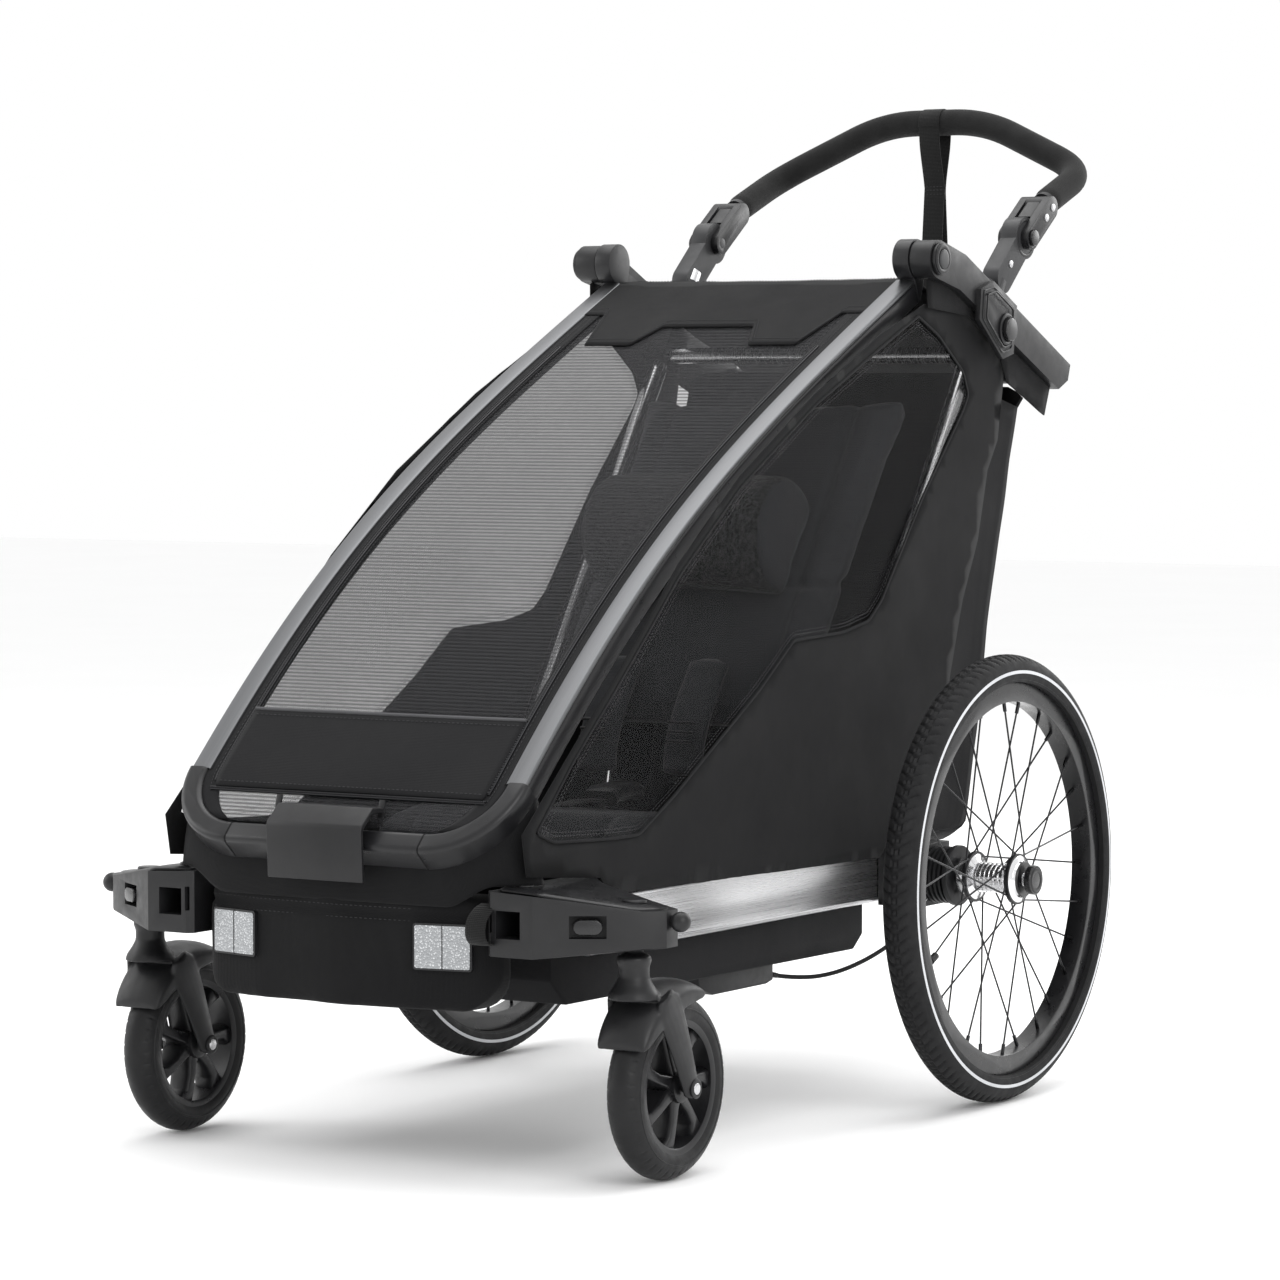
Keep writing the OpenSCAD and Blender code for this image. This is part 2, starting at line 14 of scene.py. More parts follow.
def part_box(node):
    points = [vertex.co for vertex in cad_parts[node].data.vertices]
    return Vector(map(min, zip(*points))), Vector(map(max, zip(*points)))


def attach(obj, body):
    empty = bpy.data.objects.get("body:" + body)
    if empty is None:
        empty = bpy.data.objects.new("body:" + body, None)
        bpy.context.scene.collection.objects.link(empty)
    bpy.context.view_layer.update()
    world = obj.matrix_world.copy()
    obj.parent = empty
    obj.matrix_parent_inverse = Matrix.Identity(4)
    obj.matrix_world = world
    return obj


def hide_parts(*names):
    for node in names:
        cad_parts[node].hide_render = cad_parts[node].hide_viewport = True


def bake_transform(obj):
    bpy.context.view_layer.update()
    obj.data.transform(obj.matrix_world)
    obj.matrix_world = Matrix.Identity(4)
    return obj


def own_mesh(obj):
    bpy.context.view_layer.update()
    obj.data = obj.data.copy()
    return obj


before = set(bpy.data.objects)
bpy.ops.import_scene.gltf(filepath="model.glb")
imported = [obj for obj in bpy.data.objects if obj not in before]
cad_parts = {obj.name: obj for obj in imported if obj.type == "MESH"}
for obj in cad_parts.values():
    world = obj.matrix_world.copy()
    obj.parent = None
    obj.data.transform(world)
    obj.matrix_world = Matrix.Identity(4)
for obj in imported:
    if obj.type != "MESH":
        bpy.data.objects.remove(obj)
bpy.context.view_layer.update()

# ---------------------------------------------------------------- places, from the frame

MM = 0.001
ARCH = [(0.205, 0.893), (-0.140, 0.727), (-0.325, 0.635), (-0.572, 0.392)]
ARCH_OUT = 0.202
ARCH_IN = 0.184
CORNER_TILT = math.radians(47)
BAR_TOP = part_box("side_bars")[1][2]
WHEEL_X = 0.334
AXLE = (0.166, 0.243)
WHEEL_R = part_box("tyre_left")[1][2] / 2
TYRE_HALF = 0.020
TOP_PIVOT = (0.211, 0.915)
HANDLE_PIVOT = (0.445, 0.944)
CASTER_X = 0.295
CASTER_AXLE = (-0.463, 0.092)
SWIVEL_Y = -0.522
ARM_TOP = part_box("caster_arm_left")[1][2]
SIDES = (("left", 1), ("right", -1))


# ---------------------------------------------------------------- small maths

def smoothstep(t):
    t = min(1.0, max(0.0, t))
    return t * t * (3 - 2 * t)


def lerp(a, b, t):
    return a + (b - a) * t


def along(points, t):
    """Point at share t of a polyline of 2-D or 3-D points."""
    pts = [np.array(p, float) for p in points]
    lengths = [np.linalg.norm(q - p) for p, q in zip(pts, pts[1:])]
    left = t * sum(lengths)
    for p, q, d in zip(pts, pts[1:], lengths):
        if left <= d:
            return p + (q - p) * (left / d)
        left -= d
    return pts[-1]


def smooth_line(points, steps=8):
    """Catmull-Rom curve through points."""
    p = [np.array(q, float) for q in points]
    p = [2 * p[0] - p[1]] + p + [2 * p[-1] - p[-2]]
    out = []
    for i in range(1, len(p) - 2):
        for k in range(steps):
            t = k / steps
            a, b, c, d = p[i - 1:i + 3]
            out.append(0.5 * (2 * b + (c - a) * t + (2 * a - 5 * b + 4 * c - d) * t * t
                              + (3 * b - a - 3 * c + d) * t ** 3))
    out.append(p[-2])
    return out


def rounded_line(points, cut, steps=8):
    """Polyline whose corners are cut by curves."""
    p = [np.array(q, float) for q in points]
    out = [p[0]]
    for a, b, c in zip(p, p[1:], p[2:]):
        s = b + (a - b) / np.linalg.norm(a - b) * cut
        e = b + (c - b) / np.linalg.norm(c - b) * cut
        for k in range(steps + 1):
            t = k / steps
            out.append((1 - t) ** 2 * s + 2 * t * (1 - t) * b + t * t * e)
    out.append(p[-1])
    return out


def arch_point(t, depth=0.0):
    """(y, z) on the arch's upper edge at share t, sunk by depth; past 1 it runs on straight."""
    a, b, c, d = [np.array(p) for p in ARCH]
    over = max(0.0, t - 1)
    t = min(t, 1)
    p = (1 - t) ** 3 * a + 3 * (1 - t) ** 2 * t * b + 3 * (1 - t) * t * t * c + t ** 3 * d
    v = 3 * (1 - t) ** 2 * (b - a) + 6 * (1 - t) * t * (c - b) + 3 * t * t * (d - c)
    v = v / np.linalg.norm(v)
    return p + v * over + depth * np.array([-v[1], v[0]])


def corner_point(x, drop, sink=0.0):
    """Point of the arch's lower corner plane, at a distance below the rail's end."""
    y0, z0 = ARCH[3]
    c, s = math.cos(CORNER_TILT), math.sin(CORNER_TILT)
    return np.array([x, y0 - drop * c + sink * s, z0 - drop * s - sink * c])


# ---------------------------------------------------------------- mesh helpers

def tube_faces(rings, n, closed=False, caps=True):
    """Quads between rings of n points each, and a face over each end."""
    faces = [(i * n + k, i * n + (k + 1) % n, (i + 1) % rings * n + (k + 1) % n,
              (i + 1) % rings * n + k) for i in range(rings - (not closed)) for k in range(n)]
    if caps and not closed:
        faces += [tuple(range(n))[::-1], tuple((rings - 1) * n + k for k in range(n))]
    return faces


def smooth_shaded(obj):
    for poly in obj.data.polygons:
        poly.use_smooth = True
    return obj


def finished(obj, body):
    """Rides a piece on its body, if one is given."""
    if body:
        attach(obj, body)
    return obj


def from_bmesh(name, bm, material):
    """A new object from a bmesh, which is freed."""
    data = bpy.data.meshes.new(name)
    bm.to_mesh(data)
    bm.free()
    obj = bpy.data.objects.new(name, data)
    bpy.context.scene.collection.objects.link(obj)
    data.materials.append(M[material])
    return obj


def bevel(obj, width, segments, degrees):
    mod = obj.modifiers.new("Bevel", "BEVEL")
    mod.width = width
    mod.segments = segments
    mod.limit_method = "ANGLE"
    mod.angle_limit = math.radians(degrees)


def voxels(obj, size):
    remesh = obj.modifiers.new("Remesh", "REMESH")
    remesh.mode = "VOXEL"
    remesh.voxel_size = size


def moved_to(obj, points):
    """Writes an array of points back to a mesh."""
    obj.data.vertices.foreach_set("co", points.astype(np.float32).ravel())
    obj.data.update()

def new_mesh(name, verts, faces, material, body):
    data = bpy.data.meshes.new(name)
    data.from_pydata([tuple(map(float, v)) for v in verts], [], faces)
    data.validate()
    data.update()
    obj = bpy.data.objects.new(name, data)
    bpy.context.scene.collection.objects.link(obj)
    data.materials.append(M[material])
    smooth_shaded(obj)
    bm = bmesh.new()
    bm.from_mesh(data)
    bmesh.ops.recalc_face_normals(bm, faces=bm.faces)
    bm.to_mesh(data)
    bm.free()
    return finished(obj, body)


def apply_modifiers(obj):
    """Bakes an object's modifiers into its mesh."""
    bpy.context.view_layer.update()
    graph = bpy.context.evaluated_depsgraph_get()
    data = bpy.data.meshes.new_from_object(obj.evaluated_get(graph))
    obj.modifiers.clear()
    obj.data = data
    return obj


def sharpen(obj, degrees=32):
    """Smooth shading with sharp edges over an angle."""
    bm = bmesh.new()
    bm.from_mesh(obj.data)
    for e in bm.edges:
        if len(e.link_faces) == 2:
            e.smooth = e.calc_face_angle(0) < math.radians(degrees)
    bm.to_mesh(obj.data)
    bm.free()
    return obj


def sweep(name, path, profile, material, body, up=(0, 0, 1), scale=None):
    """Sweeps a closed outline of (side, up) pairs along a path."""
    p = [np.array(q, float) for q in path]
    n = len(p)
    verts = []
    up = np.array(up, float)
    for i, q in enumerate(p):
        d = p[min(i + 1, n - 1)] - p[max(i - 1, 0)]
        d = d / np.linalg.norm(d)
        side = np.cross(d, up)
        side = side / np.linalg.norm(side)
        top = np.cross(side, d)
        k = scale(i / max(1, n - 1)) if scale else 1.0
        verts += [q + k * (a * side + b * top) for a, b in profile]
    return sharpen(new_mesh(name, verts, tube_faces(n, len(profile)), material, body), 40)


def circle_outline(r, sides=16):
    return [(r * math.cos(2 * math.pi * k / sides), r * math.sin(2 * math.pi * k / sides))
            for k in range(sides)]


def rect_outline(w, h, r, steps=4):
    """Rounded rectangle, centred, counter-clockwise."""
    out = []
    for cx, cy, a0 in ((1, 1, 0), (-1, 1, 90), (-1, -1, 180), (1, -1, 270)):
        for k in range(steps + 1):
            a = math.radians(a0 + 90 * k / steps)
            out.append((cx * (w / 2 - r) + r * math.cos(a), cy * (h / 2 - r) + r * math.sin(a)))
    return out


def lathe(name, profile, x, material, body, centre=AXLE, steps=64, shape=None):
    """Turns (radius, offset along X) pairs about an axle along X."""
    verts = []
    for i in range(steps):
        a = 2 * math.pi * i / steps
        for r, o in profile:
            if shape:
                r, o = shape(a, r, o)
            verts.append((x + o, centre[0] + r * math.cos(a), centre[1] + r * math.sin(a)))
    faces = tube_faces(steps, len(profile), closed=True)
    return sharpen(new_mesh(name, verts, faces, material, body), 40)


def grid(name, fn, nu, nv, material, body, thickness):
    """A sheet from fn(u, v) with u and v from 0 to 1, thickened to both sides."""
    verts = [fn(i / nu, j / nv) for i in range(nu + 1) for j in range(nv + 1)]
    faces = [(i * (nv + 1) + j, (i + 1) * (nv + 1) + j, (i + 1) * (nv + 1) + j + 1,
              i * (nv + 1) + j + 1) for i in range(nu) for j in range(nv)]
    obj = new_mesh(name, verts, faces, material, None)
    return finished(solid(obj, thickness), body)


def solid(obj, thickness):
    mod = obj.modifiers.new("Solidify", "SOLIDIFY")
    mod.thickness = thickness
    mod.offset = 0.0
    return smooth_shaded(apply_modifiers(obj))


def rod_between(name, p, q, r, material, body, sides=20):
    up = (0, 0, 1) if abs(q[2] - p[2]) < 0.8 * math.dist(p, q) else (1, 0, 0)
    return sweep(name, [p, q], circle_outline(r, sides), material, body, up=up)


def button(name, centre, axis, r, height, material, body, dome=0.25):
    """A round turned cap that stands out along axis from centre."""
    axis = Vector(axis).normalized()
    side = axis.orthogonal().normalized()
    other = axis.cross(side)
    rim = [(1.0, 0.0), (1.0, 0.75), (0.96, 0.9), (0.86, 1.0)]
    rim += [(0.6, 1.0 + dome * 0.5), (0.3, 1.0 + dome * 0.9), (0.0, 1.0 + dome)]
    steps = 32
    verts, faces = [], []
    for k in range(steps):
        a = 2 * math.pi * k / steps
        d = side * math.cos(a) + other * math.sin(a)
        verts += [Vector(centre) + d * (r * u) + axis * (height * w) for u, w in rim[:-1]]
    m = len(rim) - 1
    tip = len(verts)
    verts.append(Vector(centre) + axis * (height * rim[-1][1]))
    for k in range(steps):
        n = (k + 1) % steps
        for j in range(m - 1):
            faces.append((k * m + j, n * m + j, n * m + j + 1, k * m + j + 1))
        faces.append((k * m + m - 1, n * m + m - 1, tip))
    faces.append(tuple(k * m for k in range(steps))[::-1])
    return sharpen(new_mesh(name, verts, faces, material, body), 40)


def stitches(name, path, normal, material, body, length=3.2 * MM, gap=1.9 * MM,
             r=0.34 * MM, lift=0.25 * MM):
    """A row of sewn stitches along a path; normal points out of the cloth."""
    p = [np.array(q, float) for q in path]
    verts, faces = [], []
    ring = [(math.cos(k * math.pi / 3), math.sin(k * math.pi / 3)) for k in range(6)]
    up = np.array(normal, float)
    for a, b in zip(p, p[1:]):
        size = np.linalg.norm(b - a)
        if size < 1e-6:
            continue
        d = (b - a) / size
        side = np.cross(d, up)
        side = side / np.linalg.norm(side)
        count = max(1, int(round(size / (length + gap))))
        for k in range(count):
            mid = a + d * size * (k + 0.5) / count + up * lift
            half = length / 2 * min(1, size / count / (length + gap))
            start = len(verts)
            for s, share in ((-1, 0.35), (-0.7, 1), (0.7, 1), (1, 0.35)):
                c = mid + d * half * s
                verts += [c + r * share * (u * side + w * up) for u, w in ring]
            faces += [tuple(start + v for v in face) for face in tube_faces(4, 6)]
    return new_mesh(name, verts, faces, material, body)


# ---------------------------------------------------------------- materials

def nodes_of(name, colour, rough, metal=0.0, sheen=0.0, coat=0.0, spec=0.5):
    mat = bpy.data.materials.new(name)
    mat.use_nodes = True
    tree = mat.node_tree
    shader = tree.nodes["Principled BSDF"]
    shader.inputs["Base Color"].default_value = (*colour, 1)
    shader.inputs["Roughness"].default_value = rough
    shader.inputs["Metallic"].default_value = metal
    shader.inputs["Sheen Weight"].default_value = sheen
    shader.inputs["Sheen Roughness"].default_value = 0.45
    shader.inputs["Coat Weight"].default_value = coat
    shader.inputs["Specular IOR Level"].default_value = spec
    return mat, tree, shader


def link(tree, a, b):
    tree.links.new(a, b)


def node(tree, kind, **values):
    made = tree.nodes.new(kind)
    for key, value in values.items():
        if key.startswith("in_"):
            made.inputs[key[3:].replace("_", " ")].default_value = value
        else:
            setattr(made, key, value)
    return made


def place(tree, scale=(1, 1, 1), turn=(0, 0, 0)):
    """Object coordinates, turned and scaled."""
    coord = node(tree, "ShaderNodeTexCoord")
    mapping = node(tree, "ShaderNodeMapping")
    mapping.inputs["Scale"].default_value = scale
    mapping.inputs["Rotation"].default_value = turn
    link(tree, coord.outputs["Object"], mapping.inputs["Vector"])
    return mapping.outputs["Vector"]


def noise_out(tree, vector, scale, detail=4, rough=0.6):
    n = node(tree, "ShaderNodeTexNoise", in_Scale=scale, in_Detail=detail, in_Roughness=rough)
    link(tree, vector, n.inputs["Vector"])
    return n.outputs["Fac"]


def wave_out(tree, vector, scale, direction="X", distortion=0.0):
    n = node(tree, "ShaderNodeTexWave", in_Scale=scale, in_Distortion=distortion)
    n.wave_type = "BANDS"
    n.bands_direction = direction
    link(tree, vector, n.inputs["Vector"])
    return n.outputs["Fac"]


def math_out(tree, op, a, b=None, clamp=False):
    n = node(tree, "ShaderNodeMath", operation=op, use_clamp=clamp)
    for i, v in enumerate((a, b)):
        if v is None:
            continue
        if isinstance(v, (int, float)):
            n.inputs[i].default_value = v
        else:
            link(tree, v, n.inputs[i])
    return n.outputs[0]


def ramp_out(tree, fac, stops):
    n = node(tree, "ShaderNodeValToRGB")
    while len(n.color_ramp.elements) < len(stops):
        n.color_ramp.elements.new(0.5)
    for e, (pos, colour) in zip(n.color_ramp.elements, stops):
        e.position = pos
        e.color = (*colour, 1) if isinstance(colour, tuple) else (colour, colour, colour, 1)
    link(tree, fac, n.inputs["Fac"])
    return n.outputs["Color"]


def bump(tree, shader, height, distance, strength=1.0):
    n = node(tree, "ShaderNodeBump", in_Distance=distance, in_Strength=strength)
    link(tree, height, n.inputs["Height"])
    link(tree, n.outputs["Normal"], shader.inputs["Normal"])


def weave_height(tree, pitch, turn=(0, 0, 0)):
    """Plain weave: crossing threads on every face, from three crossed waves."""
    v = place(tree, turn=turn)
    k = 1 / pitch / 3.2
    x = wave_out(tree, v, k, "X")
    y = wave_out(tree, v, k, "Y")
    z = wave_out(tree, v, k, "Z")
    xy = math_out(tree, "MAXIMUM", x, y)
    return math_out(tree, "MAXIMUM", xy, z)


def fabric(name, colour, light, pitch=0.0011, rough=0.85, sheen=0.04, depth=0.00018,
           crease=0.0006, coat=0.0):
    mat, tree, shader = nodes_of(name, colour, rough, sheen=sheen, coat=coat, spec=0.16)
    big = noise_out(tree, place(tree), 9, 4)
    threads = weave_height(tree, pitch)
    tone = math_out(tree, "ADD", math_out(tree, "MULTIPLY", big, 0.7),
                    math_out(tree, "MULTIPLY", threads, 0.3))
    link(tree, ramp_out(tree, tone, [(0.25, colour), (0.85, light)]), shader.inputs["Base Color"])
    rough_tone = ramp_out(tree, big, [(0.3, rough - 0.12), (0.7, min(1, rough + 0.08))])
    link(tree, rough_tone, shader.inputs["Roughness"])
    fine = math_out(tree, "MULTIPLY", threads, depth)
    folds = math_out(tree, "MULTIPLY", noise_out(tree, place(tree), 14, 3), crease)
    bump(tree, shader, math_out(tree, "ADD", fine, folds), 1.0, 1.0)
    return mat


def plastic(name, colour, light, rough, grain=700, depth=0.00005, coat=0.0):
    mat, tree, shader = nodes_of(name, colour, rough, coat=coat, spec=0.36)
    shader.inputs["Coat Roughness"].default_value = 0.25
    v = place(tree)
    big = noise_out(tree, v, 12, 4)
    link(tree, ramp_out(tree, big, [(0.3, colour), (0.75, light)]), shader.inputs["Base Color"])
    fine = noise_out(tree, v, grain, 2)
    spread = ramp_out(tree, noise_out(tree, v, 60, 5), [(0.3, rough - 0.07), (0.7, rough + 0.09)])
    link(tree, spread, shader.inputs["Roughness"])
    bump(tree, shader, math_out(tree, "MULTIPLY", fine, depth), 1.0, 1.0)
    return mat


def brushed(name, colour, rough, axis_scale=(1200, 8, 1200), coat=0.0, depth=0.00002):
    """Metal brushed along Y, or along whichever axis has the small scale."""
    mat, tree, shader = nodes_of(name, colour, rough, metal=1.0, coat=coat)
    lines = noise_out(tree, place(tree, scale=axis_scale), 1.0, 3, 0.7)
    dark = tuple(c * 0.82 for c in colour)
    link(tree, ramp_out(tree, lines, [(0.3, dark), (0.75, colour)]), shader.inputs["Base Color"])
    spread = ramp_out(tree, lines, [(0.25, rough - 0.06), (0.8, rough + 0.1)])
    link(tree, spread, shader.inputs["Roughness"])
    bump(tree, shader, math_out(tree, "MULTIPLY", lines, depth), 1.0, 1.0)
    return mat


def mesh_cloth(name, colour, pitch, open_share):
    """See-through knitted mesh: fine lines across the cover, with gaps between."""
    mat, tree, shader = nodes_of(name, colour, 0.75, sheen=0.03, spec=0.18)
    v = place(tree)
    rows = wave_out(tree, v, 1 / pitch / 3.2, "Z")
    cols = wave_out(tree, v, 1 / (pitch * 0.8) / 3.2, "X")
    cover = math_out(tree, "MAXIMUM", rows, math_out(tree, "MULTIPLY", cols, 0.75))
    alpha = ramp_out(tree, cover, [(open_share - 0.12, 0.16), (open_share + 0.2, 0.50)])
    link(tree, alpha, shader.inputs["Alpha"])
    bump(tree, shader, math_out(tree, "MULTIPLY", cover, 0.0003), 1.0, 1.0)
    return mat


def window_film():
    """Clear tinted film: dark, glossy and a little wavy."""
    mat, tree, shader = nodes_of("window_film", (0.003, 0.003, 0.0035), 0.32, spec=0.12)
    v = place(tree)
    haze = noise_out(tree, v, 5, 3)
    alpha = ramp_out(tree, haze, [(0.3, 0.24), (0.7, 0.28)])
    link(tree, alpha, shader.inputs["Alpha"])
    bump(tree, shader, math_out(tree, "MULTIPLY", noise_out(tree, v, 7, 2), 0.002), 1.0, 0.1)
    return mat


def prism(name):
    """Reflector: clear plastic over small square prisms."""
    mat, tree, shader = nodes_of(name, (0.62, 0.63, 0.65), 0.20, metal=0.60, coat=0.6)
    v = place(tree, turn=(0, 0, 0))
    cells = node(tree, "ShaderNodeTexVoronoi", in_Scale=420.0, distance="MANHATTAN")
    link(tree, v, cells.inputs["Vector"])
    tone = ramp_out(tree, cells.outputs["Distance"],
                    [(0.05, (0.80, 0.81, 0.82)), (0.6, (0.30, 0.31, 0.32))])
    link(tree, tone, shader.inputs["Base Color"])
    bump(tree, shader, cells.outputs["Distance"], 0.0005, 0.6)
    return mat


def foam_material():
    mat, tree, shader = nodes_of("grip_foam", (0.009, 0.009, 0.0094), 0.86, sheen=0.06, spec=0.18)
    v = place(tree)
    cells = node(tree, "ShaderNodeTexVoronoi", in_Scale=900.0)
    link(tree, v, cells.inputs["Vector"])
    big = noise_out(tree, v, 30, 4)
    link(tree, ramp_out(tree, big, [(0.3, 0.0075), (0.75, 0.0155)]), shader.inputs["Base Color"])
    bump(tree, shader, math_out(tree, "MULTIPLY", cells.outputs["Distance"], 0.00045), 1.0, 1.0)
    return mat


def rubber(name, colour, light, rough=0.72):
    mat, tree, shader = nodes_of(name, colour, rough, sheen=0.02, spec=0.25)
    v = place(tree)
    big = noise_out(tree, v, 25, 5)
    link(tree, ramp_out(tree, big, [(0.3, colour), (0.8, light)]), shader.inputs["Base Color"])
    spread = ramp_out(tree, noise_out(tree, v, 90, 4), [(0.3, rough - 0.1), (0.7, rough + 0.1)])
    link(tree, spread, shader.inputs["Roughness"])
    bump(tree, shader, math_out(tree, "MULTIPLY", noise_out(tree, v, 420, 2), 0.0001), 1.0, 1.0)
    return mat


def webbing_material(name="webbing"):
    mat, tree, shader = nodes_of(name, (0.007, 0.007, 0.0076), 0.8, sheen=0.08, spec=0.18)
    v = place(tree)
    ribs = wave_out(tree, v, 1 / 0.0016 / 3.2, "Z")
    cross = wave_out(tree, v, 1 / 0.0022 / 3.2, "X")
    height = math_out(tree, "ADD", ribs, math_out(tree, "MULTIPLY", cross, 0.5))
    link(tree, ramp_out(tree, ribs, [(0.2, 0.0035), (0.9, 0.0145)]), shader.inputs["Base Color"])
    bump(tree, shader, math_out(tree, "MULTIPLY", height, 0.0003), 1.0, 1.0)
    return mat


def padding_mesh():
    """Spacer mesh of the bolster's front: small diamond holes."""
    mat, tree, shader = nodes_of("padding_mesh", (0.02, 0.02, 0.022), 0.85, sheen=0.12, spec=0.2)
    v = place(tree, turn=(math.radians(30), math.radians(45), 0))
    cells = node(tree, "ShaderNodeTexVoronoi", in_Scale=230.0, distance="CHEBYCHEV")
    link(tree, v, cells.inputs["Vector"])
    tone = ramp_out(tree, cells.outputs["Distance"], [(0.15, 0.006), (0.55, 0.045)])
    link(tree, tone, shader.inputs["Base Color"])
    bump(tree, shader, cells.outputs["Distance"], 0.0016, 1.0)
    return mat


M = {
    "black_fabric": fabric("black_fabric", (0.0028, 0.0028, 0.0031), (0.0068, 0.0068, 0.0074)),
    "bag_fabric": fabric("bag_fabric", (0.0045, 0.0045, 0.005), (0.0105, 0.0105, 0.0115),
                         pitch=0.0014),
    "trim_fabric": fabric("trim_fabric", (0.0045, 0.0045, 0.005), (0.010, 0.010, 0.011),
                          pitch=0.0007, crease=0.0002),
    "seat_fabric": fabric("seat_fabric", (0.022, 0.0225, 0.025), (0.048, 0.049, 0.053),
                          pitch=0.0016, depth=0.0003, sheen=0.15),
    "padding_mesh": padding_mesh(),
    "cover_mesh": mesh_cloth("cover_mesh", (0.030, 0.030, 0.032), 0.0034, 0.45),
    "pocket_mesh": mesh_cloth("pocket_mesh", (0.015, 0.015, 0.016), 0.0030, 0.5),
    "window_film": window_film(),
    "webbing": webbing_material(),
    "thread": fabric("thread", (0.03, 0.03, 0.032), (0.06, 0.06, 0.063), pitch=0.0004, crease=0.0),
    "piping": fabric("piping", (0.05, 0.05, 0.053), (0.11, 0.11, 0.115), pitch=0.0006, crease=0.0),
    "black_plastic": plastic("black_plastic", (0.0058, 0.0058, 0.0064),
                             (0.0115, 0.0115, 0.0125), 0.42),
    "satin_plastic": plastic("satin_plastic", (0.0068, 0.0068, 0.0075),
                             (0.0125, 0.0125, 0.0138), 0.33),
    "grey_plastic": plastic("grey_plastic", (0.020, 0.0203, 0.0215), (0.036, 0.0365, 0.0385), 0.40),
    "button_plastic": plastic("button_plastic", (0.006, 0.006, 0.0066), (0.011, 0.011, 0.012), 0.26,
                              coat=0.3),
    "zip_metal": brushed("zip_metal", (0.035, 0.035, 0.037), 0.35, (900, 900, 30)),
    "arch_aluminium": brushed("arch_aluminium", (0.175, 0.178, 0.184), 0.40, (900, 6, 6), 0.05),
    "bar_aluminium": brushed("bar_aluminium", (0.66, 0.66, 0.67), 0.27, (1500, 5, 1500)),
    "tube_aluminium": brushed("tube_aluminium", (0.80, 0.80, 0.81), 0.24, (700, 20, 20)),
    "hub_aluminium": brushed("hub_aluminium", (0.88, 0.88, 0.89), 0.14, (14, 900, 900)),
    "steel": brushed("steel", (0.62, 0.62, 0.63), 0.25, (900, 900, 20)),
    "black_metal": plastic("black_metal", (0.004, 0.004, 0.0045), (0.008, 0.008, 0.009), 0.30,
                           grain=1500, coat=0.25),
    "spoke_metal": brushed("spoke_metal", (0.045, 0.045, 0.047), 0.30, (600, 600, 600)),
    "reflector": prism("reflector_prism"),
    "tyre": rubber("tyre_rubber", (0.0045, 0.0045, 0.005), (0.0110, 0.0110, 0.0118)),
    "caster_rubber": rubber("caster_rubber", (0.0050, 0.0050, 0.0055), (0.0115, 0.0115, 0.0122),
                            0.50),
    "stripe": plastic("stripe_reflective", (0.50, 0.51, 0.53), (0.66, 0.67, 0.69), 0.35),
    "foam": foam_material(),
}


# ---------------------------------------------------------------- camera

camera = bpy.data.objects.new("camera", bpy.data.cameras.new("camera"))
bpy.context.scene.collection.objects.link(camera)
camera.location = (2.7335, -4.4141, 0.7832)
camera.rotation_euler = (math.radians(86.874), 0, math.radians(31.997))
camera.data.lens = 134.2
camera.data.sensor_width = 36
camera.data.clip_start = 0.1
camera.data.clip_end = 60
bpy.context.scene.camera = camera


# ---------------------------------------------------------------- soft solids

def cushion(node_name, name, body, shrink=0.006, cap=0.012):
    """Swells a copy of a CAD solid with a cloth simulation, then smooths it."""
    bm = bmesh.new()
    bm.from_mesh(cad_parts[node_name].data)
    bmesh.ops.remove_doubles(bm, verts=bm.verts, dist=1e-5)
    obj = from_bmesh(name, bm, "seat_fabric")
    voxels(obj, 0.006)
    smooth = obj.modifiers.new("Smooth", "CORRECTIVE_SMOOTH")
    smooth.iterations = 12
    smooth.use_only_smooth = True
    apply_modifiers(obj)
    points = np.array([v.co for v in obj.data.vertices])
    moved_to(obj, points - np.array([v.normal for v in obj.data.vertices]) * shrink)
    rest = np.array([v.co for v in obj.data.vertices])
    cloth = obj.modifiers.new("Cloth", "CLOTH")
    cloth.settings.use_pressure = True
    cloth.settings.uniform_pressure_force = 4.0
    cloth.settings.effector_weights.gravity = 0
    cloth.settings.tension_stiffness = 12
    cloth.settings.compression_stiffness = 12
    scene = bpy.context.scene
    for f in range(1, 21):
        scene.frame_set(f)
    apply_modifiers(obj)
    scene.frame_set(1)
    moved = np.array([v.co for v in obj.data.vertices]) - rest
    length = np.linalg.norm(moved, axis=1, keepdims=True)
    moved *= np.minimum(1, cap / np.maximum(length, 1e-9))
    moved_to(obj, rest + moved)
    sub = obj.modifiers.new("Subdivision", "SUBSURF")
    sub.levels = sub.render_levels = 1
    finished(smooth_shaded(apply_modifiers(obj)), body)
    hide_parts(node_name)
    return obj


def channels(obj, lines, width, depth):
    """Presses sewn channels into a pad; each line is a function of a point giving a distance."""
    points = np.array([v.co for v in obj.data.vertices])
    normals = np.array([v.normal for v in obj.data.vertices])
    for line in lines:
        d = np.abs(line(points))
        points = points - normals * (depth * np.exp(-(d / width) ** 2))[:, None]
    moved_to(obj, points)


backrest = cushion("backrest", "backrest_pad", "rear_frame")
bolster = cushion("head_bolster", "head_bolster_pad", "rear_frame", shrink=0.008, cap=0.008)
seat = cushion("seat_cushion", "seat_pad", "root")
channels(backrest, [lambda p: np.abs(p[:, 0]) - 0.118, lambda p: p[:, 2] - 0.56], 0.006, 0.004)
channels(seat, [lambda p: np.abs(p[:, 0]) - 0.118, lambda p: p[:, 1] + 0.16], 0.006, 0.004)
channels(bolster, [lambda p: np.abs(p[:, 0]) - 0.112], 0.004, 0.0035)

# The bolster's front is covered in spacer mesh
bolster.data.materials.append(M["padding_mesh"])
for poly in bolster.data.polygons:
    if abs(poly.center.x) < 0.111:
        poly.material_index = 1


